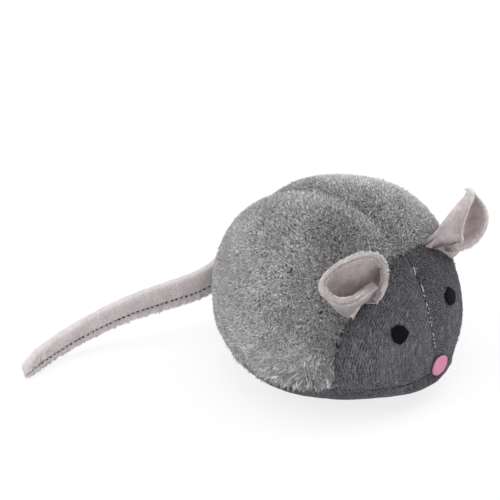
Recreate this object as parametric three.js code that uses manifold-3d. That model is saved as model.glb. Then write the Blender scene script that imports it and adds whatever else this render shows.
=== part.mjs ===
// Squeaky toy mouse: a stuffed body of five sewn panels, cupped ears, a strip tail, felt eyes and nose,
// and a sound capsule with a sprung press button inside the stuffing.
// Millimetres. The nose points to +X, the mouse's left is +Y, up is +Z, and the origin is the middle of
// the flat foot of the body, on the surface that it stands on.

import * as THREE from 'three';
import { mergeVertices } from 'three/addons/utils/BufferGeometryUtils.js';
import Module from 'manifold-3d';

const wasm = await Module();
wasm.setup();

// Body form
const rearReach = 50.6;
const noseReach = 46.6;
const sideReach = 48.3;
const bodyHeight = 71.9;
const rearWaistHeight = 29.5;
const noseWaistHeight = 10.6;
const rearCrownPower = 2.29;
const noseCrownPower = 1.87;
const rearUnderPower = 2.97;
const noseUnderPower = 2.02;
const noseTaperShare = 0.09;
const noseTaperPower = 1.3;
const waistDropPower = 5.1;
const footCut = 0.5;

// Seams and fabrics
const neckPlace = 29;
const baseSeamHeight = 13;
const seamGap = 0.5;
const seamDip = 1.4;
const seamDipWidth = 4.2;
const plushThickness = 2.8;
const knitThickness = 1.2;
const baseThickness = 1.7;
const seatGap = 0.3;
const chordAllowance = 0.4;
const fanDepth = 20;
const heartShare = 0.4;
const rowPower = 1.3;

// Felt eyes and nose
const eyeSide = 15.5;
const eyeHeight = 35.3;
const eyeHalfWidth = 3.7;
const eyeHalfHeight = 3.3;
const noseHeight = 15.2;
const noseHalfWidth = 3.3;
const noseHalfHeight = 4.1;
const feltThickness = 1.1;

// Ears
const earRootInnerSide = 14.4;
const earRootOuterSide = 30.8;
const earRootRadius = 2.4;
const earRootSink = 0.8;
const earRootHalfFold = 1.3;
const earSeatFlare = 1.8;
const earSeatSpread = 1.3;
const earFleece = 2.2;
const earRimForward = 6.3;
const earRimOutward = 12.7;
const earRimUpward = 12.5;
const earRimSteep = [-0.2, 6.6, -7.9];
const earRimWide = [5.4, -9.6, -7.0];
const earRimWarp = [3.0, 0.2, 2.9];
const earTuck = [-1.8, -2.3, 5.2];
const earBulge = 2.2;
const earFloorShare = 0.3;
const earLipShare = 1.03;
const earTuckDegrees = [320, 400];
const earUntuckDegrees = [422, 450];
const earFoldDegrees = { outerEnd: 290, backSpan: 200, frontSpan: 160 };

// Tail
const tailHeight = 27;
const tailStandOff = 1.7;
const tailPlanLength = 93;
const tailRootWidth = 12.6;
const tailTipWidth = 7.8;
const tailThickness = 4.4;
const tailFloorGap = 0.4;
const tailRoundLength = 3.2;
const tailTipLeastShare = 0.17;
const tailTipBluntShare = 0.35;
const tailKnuckleShare = 0.94;

// Sound capsule
const capsuleRadius = 18;
const capsuleWall = 1.6;
const capsuleRound = 3.5;
const capsuleHeight = 23;
const partingHeight = 9.5;
const lipHeight = 1.2;
const lipThickness = 1.2;
const lipDepth = 2;
const postRadius = 2.6;
const postForward = 3.4;
const postSide = 13.3;
const ribDepth = 1.9;
const ribWidth = 1.8;
const ribAngles = [50, 130, 230, 310];
const screwHeadRadius = 1.8;
const screwHeadHeight = 1.2;
const screwShankRadius = 0.95;
const screwLength = 13.5;
const screwSlotWidth = 0.6;
const screwSlotDepth = 0.7;
const pilotDepth = 6.5;

// Cells, contacts and board
const cellCount = 3;
const cellRadius = 5.8;
const cellThickness = 3.05;
const cellCapRadius = 4.6;
const cellCapHeight = 0.35;
const cellPlace = 10.3;
const holderWall = 1;
const holderHeight = 9.4;
const contactThickness = 0.4;
const contactRadius = 4.2;
const contactWidth = 3;
const boardThickness = 1;
const boardMargin = 0.5;
const chipRadius = 3;
const chipHeight = 1.5;
const chipPlace = -10.4;
const switchWidth = 6;
const switchHeight = 2.2;
const plungerRadius = 1.7;
const plungerHeight = 0.5;

// Button and spring
const buttonTravel = 1.5;
const buttonRadius = 6;
const buttonRunning = 0.4;
const buttonRise = 2.4;
const buttonFlange = 1.4;
const buttonFlangeThickness = 1.4;
const stemRadius = 1.6;
const springRadius = 5.4;
const springWire = 0.7;
const springTurns = 3;

// Speaker and leads
const speakerPlace = -5.9;
const speakerRadius = 10;
const speakerRim = 1.5;
const speakerDepth = 3.6;
const speakerThroat = 6.5;
const speakerWall = 0.8;
const diaphragmRadius = 8.6;
const diaphragmThickness = 0.3;
const diaphragmRise = 1.3;
const magnetRadius = 5;
const magnetHeight = 2.5;
const speakerSeatWall = 0.8;
const speakerSeatHeight = 0.7;
const grilleHoleRadius = 0.9;
const grilleRings = [[0, 1], [3.2, 6], [6.3, 11]];
const leadRadius = 0.5;
const leadSide = 2;
const leadReach = 6.8;
const leadBow = 1.3;

// Steps round and along the forms
const panelSteps = 16;
const faceSteps = 11;
const baseSteps = 34;
const earSteps = 30;
const tailSteps = 22;
const fillSteps = 24;
const roundSteps = 36;
const smallSteps = 14;
const overrun = 2;
const weldDistance = 0.0004;
const probe = 0.01;

// Derived levels of the capsule, counted from its underside
const cellFloor = capsuleWall + seatGap + contactThickness + seatGap;
const cellPitch = cellThickness + seatGap;
const contactTop = cellFloor + cellCount * cellPitch;
const boardBottom = contactTop + contactThickness + seatGap;
const boardTop = boardBottom + boardThickness;
const plungerTop = boardTop + seatGap + switchHeight + plungerHeight;
const stemBottom = plungerTop + seatGap + buttonTravel;
const coverInside = capsuleHeight - capsuleWall;
const flangeTop = coverInside - seatGap;
const flangeBottom = flangeTop - buttonFlangeThickness;
const buttonTop = capsuleHeight + buttonRise;
const capsuleBore = capsuleRadius - capsuleWall;
const capsulePlace = baseThickness + seatGap;

const finish = (color, roughness, metalness = 0) =>
  new THREE.MeshStandardMaterial({ color, roughness, metalness });

const finishes = {
  plush: finish('#97969a', 1),
  knit: finish('#5d5b60', 1),
  baseCloth: finish('#6f7074', 1),
  fleece: finish('#b3a9a9', 1),
  velour: finish('#bcb3b2', 0.95),
  eyeFelt: finish('#1b1a1f', 1),
  noseFelt: finish('#cc8aa7', 1),
  fibre: finish('#f1f0ec', 1),
  shell: finish('#e9e7e1', 0.5),
  button: finish('#d8d5cd', 0.45),
  steel: finish('#b9bcc0', 0.3, 1),
  plated: finish('#c9c6ba', 0.3, 1),
  board: finish('#2e6b45', 0.55),
  chip: finish('#17171a', 0.4),
  switchBody: finish('#26262a', 0.5),
  cell: finish('#c4c6c8', 0.25, 1),
  basket: finish('#8b8d90', 0.45, 1),
  film: finish('#d9dde0', 0.3),
  magnet: finish('#55575b', 0.4, 1),
  redWire: finish('#b3262a', 0.5),
  blackWire: finish('#1c1c1e', 0.5),
};

// Closed meshes, joins and cuts

function signedVolume(positions, index) {
  const [a, b, c] = [new THREE.Vector3(), new THREE.Vector3(), new THREE.Vector3()];
  let sum = 0;
  for (let i = 0; i < index.length; i += 3) {
    a.fromBufferAttribute(positions, index[i]);
    b.fromBufferAttribute(positions, index[i + 1]);
    c.fromBufferAttribute(positions, index[i + 2]);
    sum += a.dot(b.cross(c));
  }
  return sum;
}

// Welds the corners of a geometry, drops faces that have shrunk to a line, and turns it face out.
function welded(geometry) {
  const bare = geometry.clone();
  bare.deleteAttribute('normal');
  bare.deleteAttribute('uv');
  const merged = mergeVertices(bare, weldDistance);
  const all = merged.index.array;
  const kept = [];
  for (let i = 0; i < all.length; i += 3) {
    const [a, b, c] = [all[i], all[i + 1], all[i + 2]];
    if (a !== b && b !== c && c !== a) kept.push(a, b, c);
  }
  if (signedVolume(merged.attributes.position, kept) < 0) kept.reverse();
  merged.setIndex(kept);
  return merged;
}

function solidOf(geometry) {
  const clean = welded(geometry);
  return new wasm.Manifold(new wasm.Mesh({
    numProp: 3,
    vertProperties: Float32Array.from(clean.attributes.position.array),
    triVerts: Uint32Array.from(clean.index.array),
  }));
}

function geometryOf(solid) {
  const mesh = solid.getMesh();
  const geometry = new THREE.BufferGeometry();
  geometry.setAttribute('position', new THREE.BufferAttribute(Float32Array.from(mesh.vertProperties), 3));
  geometry.setIndex(Array.from(mesh.triVerts));
  return geometry;
}

const joined = (...solids) => solids.reduce((whole, next) => whole.add(next));
const cutBy = (solid, ...tools) => tools.reduce((rest, tool) => rest.subtract(tool), solid);

function geometryFrom(points, faces) {
  const geometry = new THREE.BufferGeometry();
  const flat = points.flatMap((p) => [p.x, p.y, p.z]);
  geometry.setAttribute('position', new THREE.Float32BufferAttribute(flat, 3));
  geometry.setIndex(faces.flat());
  return geometry;
}

// A tube of closed rings, each with as many points, with a fan over the first and the last ring.
function ringLoft(rings) {
  const around = rings[0].length;
  const points = rings.flat();
  const faces = [];
  for (let row = 0; row + 1 < rings.length; row += 1) {
    for (let i = 0; i < around; i += 1) {
      const [a, b] = [row * around + i, row * around + (i + 1) % around];
      faces.push([a, b, b + around], [a, b + around, a + around]);
    }
  }
  for (const [row, turn] of [[0, -1], [rings.length - 1, 1]]) {
    const middle = rings[row].reduce((sum, p) => sum.add(p), new THREE.Vector3()).divideScalar(around);
    const hub = points.push(middle) - 1;
    for (let i = 0; i < around; i += 1) {
      const [a, b] = [row * around + i, row * around + (i + 1) % around];
      faces.push(turn > 0 ? [a, b, hub] : [b, a, hub]);
    }
  }
  return geometryFrom(points, faces);
}

// A sheet between an outer and an inner grid of points, closed along its four edges.
function sheetLoft(outer, inner) {
  const [rows, columns] = [outer.length, outer[0].length];
  const points = [...outer.flat(), ...inner.flat()];
  const under = rows * columns;
  const at = (row, column) => row * columns + column;
  const faces = [];
  for (let row = 0; row + 1 < rows; row += 1) {
    for (let column = 0; column + 1 < columns; column += 1) {
      const [a, b] = [at(row, column), at(row, column + 1)];
      const [c, d] = [at(row + 1, column + 1), at(row + 1, column)];
      faces.push([a, b, c], [a, c, d]);
      faces.push([under + c, under + b, under + a], [under + d, under + c, under + a]);
    }
  }
  const wall = (a, b) => faces.push([b, a, under + a], [b, under + a, under + b]);
  for (let column = 0; column + 1 < columns; column += 1) {
    wall(at(0, column), at(0, column + 1));
    wall(at(rows - 1, column + 1), at(rows - 1, column));
  }
  for (let row = 0; row + 1 < rows; row += 1) {
    wall(at(row + 1, 0), at(row, 0));
    wall(at(row, columns - 1), at(row + 1, columns - 1));
  }
  return geometryFrom(points, faces);
}

// A round piece about the Z axis from a profile of [radius, height] points.
function turned(profile, steps = roundSteps) {
  const points = profile.map(([radius, height]) => new THREE.Vector2(radius, height));
  return new THREE.LatheGeometry(points, steps).rotateX(Math.PI / 2);
}

// Sets one coordinate of each corner to one of two exact values, so that faces of two pieces that should
// lie in one plane do.
function snapped(geometry, axis, low, high) {
  const places = geometry.attributes.position;
  for (let i = 0; i < places.count; i += 1) {
    const value = places.getComponent(i, axis);
    places.setComponent(i, axis, value < (low + high) / 2 ? low : high);
  }
  return geometry;
}

function rod(radius, bottom, top, x = 0, y = 0, steps = smallSteps) {
  const shape = new THREE.CylinderGeometry(radius, radius, top - bottom, steps, 1).rotateX(Math.PI / 2);
  return snapped(shape.translate(x, y, (top + bottom) / 2), 2, bottom, top);
}

function block(low, high) {
  const [width, depth, height] = high.map((value, i) => value - low[i]);
  const middle = high.map((value, i) => (value + low[i]) / 2);
  const shape = new THREE.BoxGeometry(width, depth, height).translate(...middle);
  [0, 1, 2].forEach((axis) => snapped(shape, axis, low[axis], high[axis]));
  return shape;
}

function rodBetween(start, end, radius, steps = smallSteps) {
  const along = end.clone().sub(start);
  const shape = new THREE.CylinderGeometry(radius, radius, along.length(), steps);
  const turn = new THREE.Quaternion().setFromUnitVectors(new THREE.Vector3(0, 1, 0), along.normalize());
  const middle = start.clone().add(end).divideScalar(2);
  return shape.applyQuaternion(turn).translate(middle.x, middle.y, middle.z);
}

function mirrored(geometry) {
  return welded(geometry.clone().scale(1, -1, 1));
}

const eased = (share) => share * share * (3 - 2 * share);
const between = (value, low, high) => THREE.MathUtils.clamp((value - low) / (high - low), 0, 1);

// The stuffed body's form. Its level is 1 on the surface, less inside and more outside.

function bodyLevel(p) {
  const along = p.x / (p.x > 0 ? noseReach : rearReach);
  let across = p.y / sideReach;
  let facing = along / Math.max(Math.hypot(along, across), Number.EPSILON);
  for (let pass = 0; pass < 3; pass += 1) {
    const taper = 1 - noseTaperShare * Math.max(facing, 0) ** noseTaperPower;
    across = p.y / sideReach / taper;
    facing = along / Math.max(Math.hypot(along, across), Number.EPSILON);
  }
  const spread = Math.hypot(along, across);
  const noseShare = ((1 + facing) / 2) ** waistDropPower;
  const waist = THREE.MathUtils.lerp(rearWaistHeight, noseWaistHeight, noseShare);
  const crown = THREE.MathUtils.lerp(rearCrownPower, noseCrownPower, noseShare);
  const belly = THREE.MathUtils.lerp(rearUnderPower, noseUnderPower, noseShare);
  const height = (p.z + footCut) * bodyHeight / (bodyHeight + footCut);
  const above = height > waist;
  const power = above ? crown : belly;
  const rise = above ? (height - waist) / (bodyHeight - waist) : 1 - height / waist;
  return (spread ** power + rise ** power) ** (1 / power);
}

function surfaceFrom(origin, direction) {
  let [inside, outside] = [0, bodyHeight + rearReach + sideReach];
  const at = (distance) => origin.clone().addScaledVector(direction, distance);
  for (let pass = 0; pass < 40; pass += 1) {
    const middle = (inside + outside) / 2;
    if (bodyLevel(at(middle)) < 1) inside = middle;
    else outside = middle;
  }
  return at((inside + outside) / 2);
}

function outwardAt(p) {
  const slope = ['x', 'y', 'z'].map((axis) => {
    const [before, after] = [p.clone(), p.clone()];
    before[axis] -= probe;
    after[axis] += probe;
    return bodyLevel(after) - bodyLevel(before);
  });
  return new THREE.Vector3(...slope).normalize();
}

// The fabric is drawn in along each seam.
function seamDipAt(p) {
  const places = [p.y, p.x - neckPlace, p.z - baseSeamHeight];
  return seamDip * Math.max(...places.map((distance) => Math.exp(-((distance / seamDipWidth) ** 2))));
}

const insetFrom = (p, depth) => p.clone().addScaledVector(outwardAt(p), -seamDipAt(p) - depth);

// One panel from the neck seam to the nose or the rump. Planes fan out from a line under the floor, below
// the neck seam, at even plan angles along the base seam, and each carries one row of points from the
// middle seam down to the base seam.
function sidePanel(side, steps, thickness) {
  const start = neckPlace + side * seamGap / 2;
  const edge = seamGap / 2;
  const bottom = baseSeamHeight + seamGap / 2;
  const hinge = new THREE.Vector3(start, edge, -fanDepth);
  const sill = new THREE.Vector3(0, edge, bottom);
  const corner = surfaceFrom(sill, new THREE.Vector3(side, 0, 0));
  const neckFoot = surfaceFrom(new THREE.Vector3(start, edge, bottom), new THREE.Vector3(0, 1, 0));
  const firstTurn = Math.atan2(neckFoot.y - edge, side * neckFoot.x);
  const [outer, inner] = [[], []];
  for (let row = 0; row <= steps; row += 1) {
    const turn = firstTurn * Math.cos(Math.PI / 2 * (row / steps) ** rowPower);
    const along = surfaceFrom(sill, new THREE.Vector3(side * Math.cos(turn), Math.sin(turn), 0));
    const angle = row === 0 ? 0 : Math.atan2(side * (along.x - start), bottom + fanDepth);
    const up = new THREE.Vector3(side * Math.sin(angle), 0, Math.cos(angle));
    const low = hinge.clone().addScaledVector(up, (bottom + fanDepth) / Math.cos(angle));
    const ridge = surfaceFrom(low, up);
    const heart = low.clone().lerp(ridge, heartShare);
    const foot = surfaceFrom(low, new THREE.Vector3(0, 1, 0));
    const sweep = Math.atan2(foot.y - heart.y, foot.clone().sub(heart).dot(up));
    const surface = [];
    for (let step = 0; step <= steps; step += 1) {
      const share = (1 - Math.cos(Math.PI * step / steps)) / 2;
      const direction = up.clone().multiplyScalar(Math.cos(sweep * share));
      direction.y = Math.sin(sweep * share);
      surface.push(row === steps ? corner.clone() : surfaceFrom(heart, direction));
    }
    outer.push(surface.map((p) => insetFrom(p, 0)));
    inner.push(surface.map((p) => insetFrom(p, thickness)));
  }
  return sheetLoft(outer, inner);
}

// The dished base panel, from the base seam to the middle of the foot, before the foot is cut flat.
function basePanel() {
  const heart = new THREE.Vector3(0, 0, baseSeamHeight - seamGap / 2);
  const rows = 7;
  const ring = (row, depth) => {
    const dive = Math.PI / 2 * (1 - Math.cos(Math.PI * row / (2 * rows)));
    const around = [];
    for (let i = 0; i < baseSteps; i += 1) {
      const turn = 2 * Math.PI * i / baseSteps;
      const flat = Math.cos(dive);
      const direction = new THREE.Vector3(flat * Math.cos(turn), flat * Math.sin(turn), -Math.sin(dive));
      const p = surfaceFrom(heart, direction);
      around.push(p.addScaledVector(outwardAt(p), -baseDipAt(p) - depth));
    }
    return around;
  };
  const rings = [];
  for (let row = rows - 1; row >= 0; row -= 1) rings.push(ring(row, 0));
  for (let row = 0; row < rows; row += 1) rings.push(ring(row, baseThickness));
  return cutBy(solidOf(ringLoft(rings)), solidOf(floorBlock()));
}

const baseDipAt = (p) => seamDip * Math.exp(-(((p.z - baseSeamHeight) / seamDipWidth) ** 2));

function floorBlock() {
  const reach = rearReach + sideReach;
  return block([-reach, -reach, -reach], [reach, reach, 0]);
}

// A small piece of felt that lies on the face, its outline an oval of plain straight cuts.
function feltPatch(middle, halfWidth, halfHeight, cuts) {
  const outward = outwardAt(middle);
  const sideways = new THREE.Vector3(0, 0, 1).cross(outward).normalize();
  const upward = outward.clone().cross(sideways);
  const place = (share, turn) => {
    const start = middle.clone().addScaledVector(outward, -halfHeight);
    start.addScaledVector(sideways, share * halfWidth * Math.cos(turn));
    start.addScaledVector(upward, share * halfHeight * Math.sin(turn));
    return surfaceFrom(start, outward);
  };
  const ring = (share, lift) => {
    const around = [];
    for (let i = 0; i < cuts; i += 1) {
      around.push(insetFrom(place(share, 2 * Math.PI * (i + 0.5) / cuts), -lift));
    }
    return around;
  };
  const [under, top] = [seatGap, seatGap + feltThickness];
  const edge = (under + top) / 2;
  return ringLoft([ring(0.5, under), ring(0.96, under), ring(1, edge), ring(0.93, top), ring(0.5, top)]);
}

// Ears: a folded disc of fleece, gathered into a root in the neck seam and open as a cup.

const vector = (values) => new THREE.Vector3(...values);

function neckSurface(side) {
  return surfaceFrom(new THREE.Vector3(neckPlace, side, baseSeamHeight), new THREE.Vector3(0, 0, 1));
}

function earRoot() {
  const [inner, outer] = [neckSurface(earRootInnerSide), neckSurface(earRootOuterSide)];
  const middle = inner.clone().add(outer).divideScalar(2);
  const sunk = middle.addScaledVector(outwardAt(middle), -earRootSink);
  return { middle: sunk, half: outer.sub(inner).divideScalar(2) };
}

const earMiddle = (root) => root.middle.clone().add(vector([earRimForward, earRimOutward, earRimUpward]));

function earRimPoint(root, turn) {
  const degrees = THREE.MathUtils.radToDeg(turn);
  const [tucked, free] = [earTuckDegrees, earUntuckDegrees].map((range) => eased(between(degrees, ...range)));
  return earMiddle(root)
    .addScaledVector(vector(earRimSteep), Math.cos(turn))
    .addScaledVector(vector(earRimWide), Math.sin(turn))
    .addScaledVector(vector(earRimWarp), Math.cos(2 * turn))
    .addScaledVector(vector(earTuck), tucked * (1 - free));
}

// The root runs flat: from its outer end round the back of the fold, and round the front to the same end.
function earRootPoint(root, turn) {
  const { outerEnd, backSpan, frontSpan } = earFoldDegrees;
  const past = outerEnd - THREE.MathUtils.radToDeg(turn);
  const fold = past > 0 ? (3 * Math.PI / 2) * past / backSpan : (Math.PI / 2) * past / frontSpan;
  const p = root.middle.clone().addScaledVector(root.half, Math.cos(fold));
  p.x -= earRootHalfFold * Math.sin(fold);
  return p;
}

function earShape() {
  const root = earRoot();
  const turns = Array.from({ length: earSteps }, (_, i) => Math.PI / 2 + 2 * Math.PI * i / earSteps);
  const heart = (share) => root.middle.clone().lerp(earMiddle(root), share);
  const wallPoint = (turn, share) => {
    const p = earRootPoint(root, turn).lerp(earRimPoint(root, turn), share);
    const out = p.clone().sub(heart(share)).normalize();
    return p.addScaledVector(out, earBulge * Math.sin(Math.PI * share) ** 2);
  };
  const inward = (turn, share) => {
    const [step, rise] = [0.05, 0.02];
    const along = wallPoint(turn + step, share).sub(wallPoint(turn - step, share));
    const up = wallPoint(turn, share + rise).sub(wallPoint(turn, share - rise));
    return up.cross(along).normalize();
  };
  const outer = [0, 0.14, 0.32, 0.52, 0.74, 0.92, 1];
  const rings = outer.map((share) => turns.map((turn) => wallPoint(turn, share)));
  const facing = inward(turns[0], 0.5).dot(heart(0.5).sub(wallPoint(turns[0], 0.5))) > 0 ? 1 : -1;
  const offset = (turn, share, depth) =>
    wallPoint(turn, share).addScaledVector(inward(turn, share), facing * depth);
  rings.push(turns.map((turn) => offset(turn, earLipShare, earFleece / 2)));
  for (const share of [1, 0.86, 0.68, 0.48, earFloorShare]) {
    rings.push(turns.map((turn) => offset(turn, share, earFleece)));
  }
  const [start, end] = [-1, 1].map((sign) => root.middle.clone().addScaledVector(root.half, sign));
  const roll = solidOf(rodBetween(start, end, earRootRadius));
  return geometryOf(joined(solidOf(ringLoft(rings)), roll));
}

// The groove in the neck seam that the ear's root lies in, flared where the ear stands out of it.
function earSeat() {
  const root = earRoot();
  const outward = outwardAt(root.middle);
  const reach = 1 + seatGap / root.half.length();
  const groove = (lift, radius) => {
    const middle = root.middle.clone().addScaledVector(outward, lift);
    const [start, end] = [-reach, reach].map((sign) => middle.clone().addScaledVector(root.half, sign));
    return solidOf(rodBetween(start, end, radius));
  };
  const radius = earRootRadius + seatGap;
  return joined(groove(0, radius), groove(earSeatFlare, radius + earSeatSpread));
}

// Tail: a folded strip, full above its line of stitches and thin below it.

const tailHeadings = [-103, -125, -125, -120, -111, -99, -102];
const tailStepShares = [0.194, 0.136, 0.149, 0.136, 0.15, 0.161, 0.074];
const tailFallShares = [1, 0.79, 0.66, 0.53, 0.36, 0.18, 0.04, 0];
const tailSectionShares = [
  [0, 0], [0.06, 0.62], [0.2, 0.95], [0.4, 1], [0.58, 0.82], [0.7, 0.42], [0.8, 0.6], [0.93, 0.55], [1, 0],
];

function tailAxis() {
  const rump = surfaceFrom(new THREE.Vector3(0, 0, tailHeight), new THREE.Vector3(-1, 0, 0));
  return rump.x - tailStandOff;
}

function tailRoute() {
  const tip = tailTipWidth / 2 + tailFloorGap;
  const p = new THREE.Vector3(tailAxis(), 0, tailHeight);
  const points = [p.clone()];
  tailHeadings.forEach((heading, i) => {
    const angle = THREE.MathUtils.degToRad(heading);
    const step = tailStepShares[i] * tailPlanLength;
    p.x += step * Math.cos(angle);
    p.y += step * Math.sin(angle);
    p.z = tip + (tailHeight - tip) * tailFallShares[i + 1];
    points.push(p.clone());
  });
  return new THREE.CatmullRomCurve3(points, false, 'centripetal');
}

// How full the strip is at a length from its tip, which is rounded off.
function tipFullness(left) {
  const short = 1 - Math.min(left / tailRoundLength, 1);
  return Math.max(Math.sqrt(1 - short * short), tailTipLeastShare);
}

function tailShape() {
  const route = tailRoute();
  const length = route.getLength();
  const rings = [];
  const outline = [
    ...tailSectionShares.map(([down, out]) => [down, out]),
    ...tailSectionShares.slice(1, -1).reverse().map(([down, out]) => [down, -out]),
  ];
  for (let i = 0; i <= tailSteps; i += 1) {
    const share = i / tailSteps;
    const p = route.getPointAt(share);
    const heading = route.getTangentAt(share);
    const sideways = new THREE.Vector3(-heading.y, heading.x, 0).normalize();
    const fullness = tipFullness((1 - share) * length);
    const width = THREE.MathUtils.lerp(tailRootWidth, tailTipWidth, share);
    const halfWidth = width / 2 * THREE.MathUtils.lerp(tailTipBluntShare, 1, fullness);
    const halfThickness = tailThickness / 2 * fullness;
    rings.push(outline.map(([down, out]) => {
      const q = p.clone().addScaledVector(sideways, out * halfThickness);
      q.z += halfWidth * (1 - 2 * down);
      return q;
    }));
  }
  const half = tailRootWidth / 2 * tailKnuckleShare;
  const knuckle = rod(tailThickness / 2, tailHeight - half, tailHeight + half, tailAxis(), 0, 18);
  return geometryOf(joined(solidOf(ringLoft(rings)), solidOf(knuckle)));
}

function tailSeat() {
  const half = tailRootWidth / 2 + seatGap;
  return rod(tailThickness / 2 + seatGap, tailHeight - half, tailHeight + half, tailAxis(), 0, 18);
}

// Stuffing: the body's form drawn in under the fabric, with a pocket for the capsule.

function stuffingShape() {
  const heart = new THREE.Vector3(0, 0, bodyHeight * heartShare);
  const [rows, around] = [fillSteps / 2, fillSteps];
  const rings = [];
  for (let row = 0; row < rows; row += 1) {
    const tilt = Math.PI * (row + 0.5) / rows - Math.PI / 2;
    const ring = [];
    for (let i = 0; i < around; i += 1) {
      const turn = 2 * Math.PI * i / around;
      const flat = Math.cos(tilt);
      const direction = new THREE.Vector3(flat * Math.cos(turn), flat * Math.sin(turn), Math.sin(tilt));
      const p = surfaceFrom(heart, direction);
      const faceShare = eased(between(p.x, neckPlace, neckPlace + 3 * seamDipWidth));
      const cloth = THREE.MathUtils.lerp(plushThickness, knitThickness, faceShare);
      p.addScaledVector(outwardAt(p), -seamDip - cloth - seatGap - chordAllowance);
      ring.push(p);
    }
    rings.push(ring);
  }
  const pocketTop = capsulePlace + capsuleHeight + seatGap;
  const buttonPocketTop = capsulePlace + buttonTop + seatGap;
  const pocket = rod(capsuleRadius + seatGap, -overrun, pocketTop, 0, 0, roundSteps);
  const above = rod(buttonRadius + seatGap, -overrun, buttonPocketTop, 0, 0, roundSteps);
  return cutBy(solidOf(ringLoft(rings)), solidOf(pocket), solidOf(above));
}

// Capsule shells. Their heights count from the capsule's underside.

// The rounded outer corner of a shell, from its flat face to its wall.
function roundedCorner(flatHeight, upward) {
  return Array.from({ length: 5 }, (_, i) => {
    const angle = Math.PI / 2 * i / 4;
    const rise = capsuleRound * (1 - Math.cos(angle));
    return [capsuleRadius - capsuleRound * (1 - Math.sin(angle)), flatHeight + (upward ? rise : -rise)];
  });
}

const postPlaces = [[postForward, postSide], [postForward, -postSide]];

function ribBlock(degrees, bottom, top, reach) {
  const inner = capsuleBore - seatGap - ribDepth;
  const rib = block([inner, -ribWidth / 2, bottom], [reach, ribWidth / 2, top]);
  return solidOf(rib.rotateZ(THREE.MathUtils.degToRad(degrees)));
}

function capsuleBaseShape() {
  const lipOut = capsuleBore - seatGap;
  const cup = solidOf(turned([
    [0, 0],
    ...roundedCorner(0, true),
    [capsuleRadius, partingHeight],
    [lipOut, partingHeight],
    [lipOut, partingHeight + lipHeight],
    [lipOut - lipThickness, partingHeight + lipHeight],
    [lipOut - lipThickness, partingHeight - lipDepth],
    [capsuleBore, partingHeight - lipDepth - lipThickness],
    [capsuleBore, capsuleWall + capsuleRound / 2],
    [capsuleBore - capsuleRound / 2, capsuleWall],
    [0, capsuleWall],
  ]));
  const sunk = capsuleWall / 2;
  const upright = (radius, bottom, top, x, y = 0) => solidOf(rod(radius, bottom, top, x, y, roundSteps));
  const speakerSeat = speakerRadius + seatGap;
  const seatTop = capsuleWall + speakerSeatHeight;
  const seat = upright(speakerSeat + speakerSeatWall, sunk, seatTop, speakerPlace)
    .subtract(upright(speakerSeat, 0, partingHeight, speakerPlace));
  const cellSeat = cellRadius + seatGap;
  const holder = upright(cellSeat + holderWall, sunk, capsuleWall + holderHeight, cellPlace);
  const posts = postPlaces.map(([x, y]) => solidOf(rod(postRadius, sunk, partingHeight, x, y)));
  const [ribBottom, ribTop] = [partingHeight - lipDepth, boardBottom - seatGap];
  const ribs = ribAngles.map((degrees) => ribBlock(degrees, ribBottom, ribTop, lipOut));
  const lower = upright(capsuleRadius - sunk, 0, partingHeight, 0);
  const upper = upright(lipOut, partingHeight, boardBottom, 0);
  const fittings = joined(seat, holder, ...posts, ...ribs).intersect(lower.add(upper));
  const slotHalf = contactWidth / 2 + seatGap;
  const slotReach = cellSeat + seatGap + 2 * contactThickness;
  const wellTop = boardBottom + overrun;
  const wells = [
    upright(cellSeat, capsuleWall, wellTop, cellPlace),
    upright(speakerSeat, capsuleWall, ribBottom - lipThickness, speakerPlace),
    solidOf(block([cellPlace - slotHalf, 0, capsuleWall], [cellPlace + slotHalf, slotReach, wellTop])),
  ];
  const holes = postPlaces.flatMap(([x, y]) => [
    solidOf(rod(screwShankRadius + seatGap, -overrun, partingHeight + overrun, x, y)),
    solidOf(rod(screwHeadRadius + seatGap, -overrun, screwHeadHeight + seatGap, x, y)),
    solidOf(rod(postRadius + seatGap, partingHeight, boardBottom + overrun, x, y)),
  ]);
  return cutBy(joined(cup, fittings), ...wells, ...holes, ...grilleHoles());
}

function grilleHoles() {
  return grilleRings.flatMap(([ringRadius, count]) => Array.from({ length: count }, (_, i) => {
    const angle = 2 * Math.PI * i / count;
    const [x, y] = [speakerPlace + ringRadius * Math.cos(angle), ringRadius * Math.sin(angle)];
    return solidOf(rod(grilleHoleRadius, -overrun, capsuleWall + overrun, x, y, 8));
  }));
}

function capsuleCoverShape() {
  const hole = buttonRadius + buttonRunning;
  const cap = solidOf(turned([
    [hole, coverInside],
    [hole, capsuleHeight],
    ...roundedCorner(capsuleHeight, false),
    [capsuleRadius, partingHeight + seatGap],
    [capsuleBore, partingHeight + seatGap],
    [capsuleBore, coverInside - capsuleRound / 2],
    [capsuleBore - capsuleRound / 2, coverInside],
    [hole, coverInside],
  ]));
  const [inside, reach] = [coverInside + capsuleWall / 2, capsuleRadius - capsuleWall / 2];
  const posts = postPlaces.map(([x, y]) => solidOf(rod(postRadius, partingHeight + seatGap, inside, x, y)));
  const pegs = ribAngles.map((degrees) => ribBlock(degrees, boardTop + seatGap, inside, reach));
  const limit = solidOf(rod(reach, 0, inside, 0, 0, roundSteps));
  const pilots = postPlaces.map(([x, y]) =>
    solidOf(rod(screwShankRadius + seatGap, 0, partingHeight + pilotDepth, x, y)));
  return cutBy(joined(cap, joined(...posts, ...pegs).intersect(limit)), ...pilots);
}

// What the capsule holds

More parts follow.
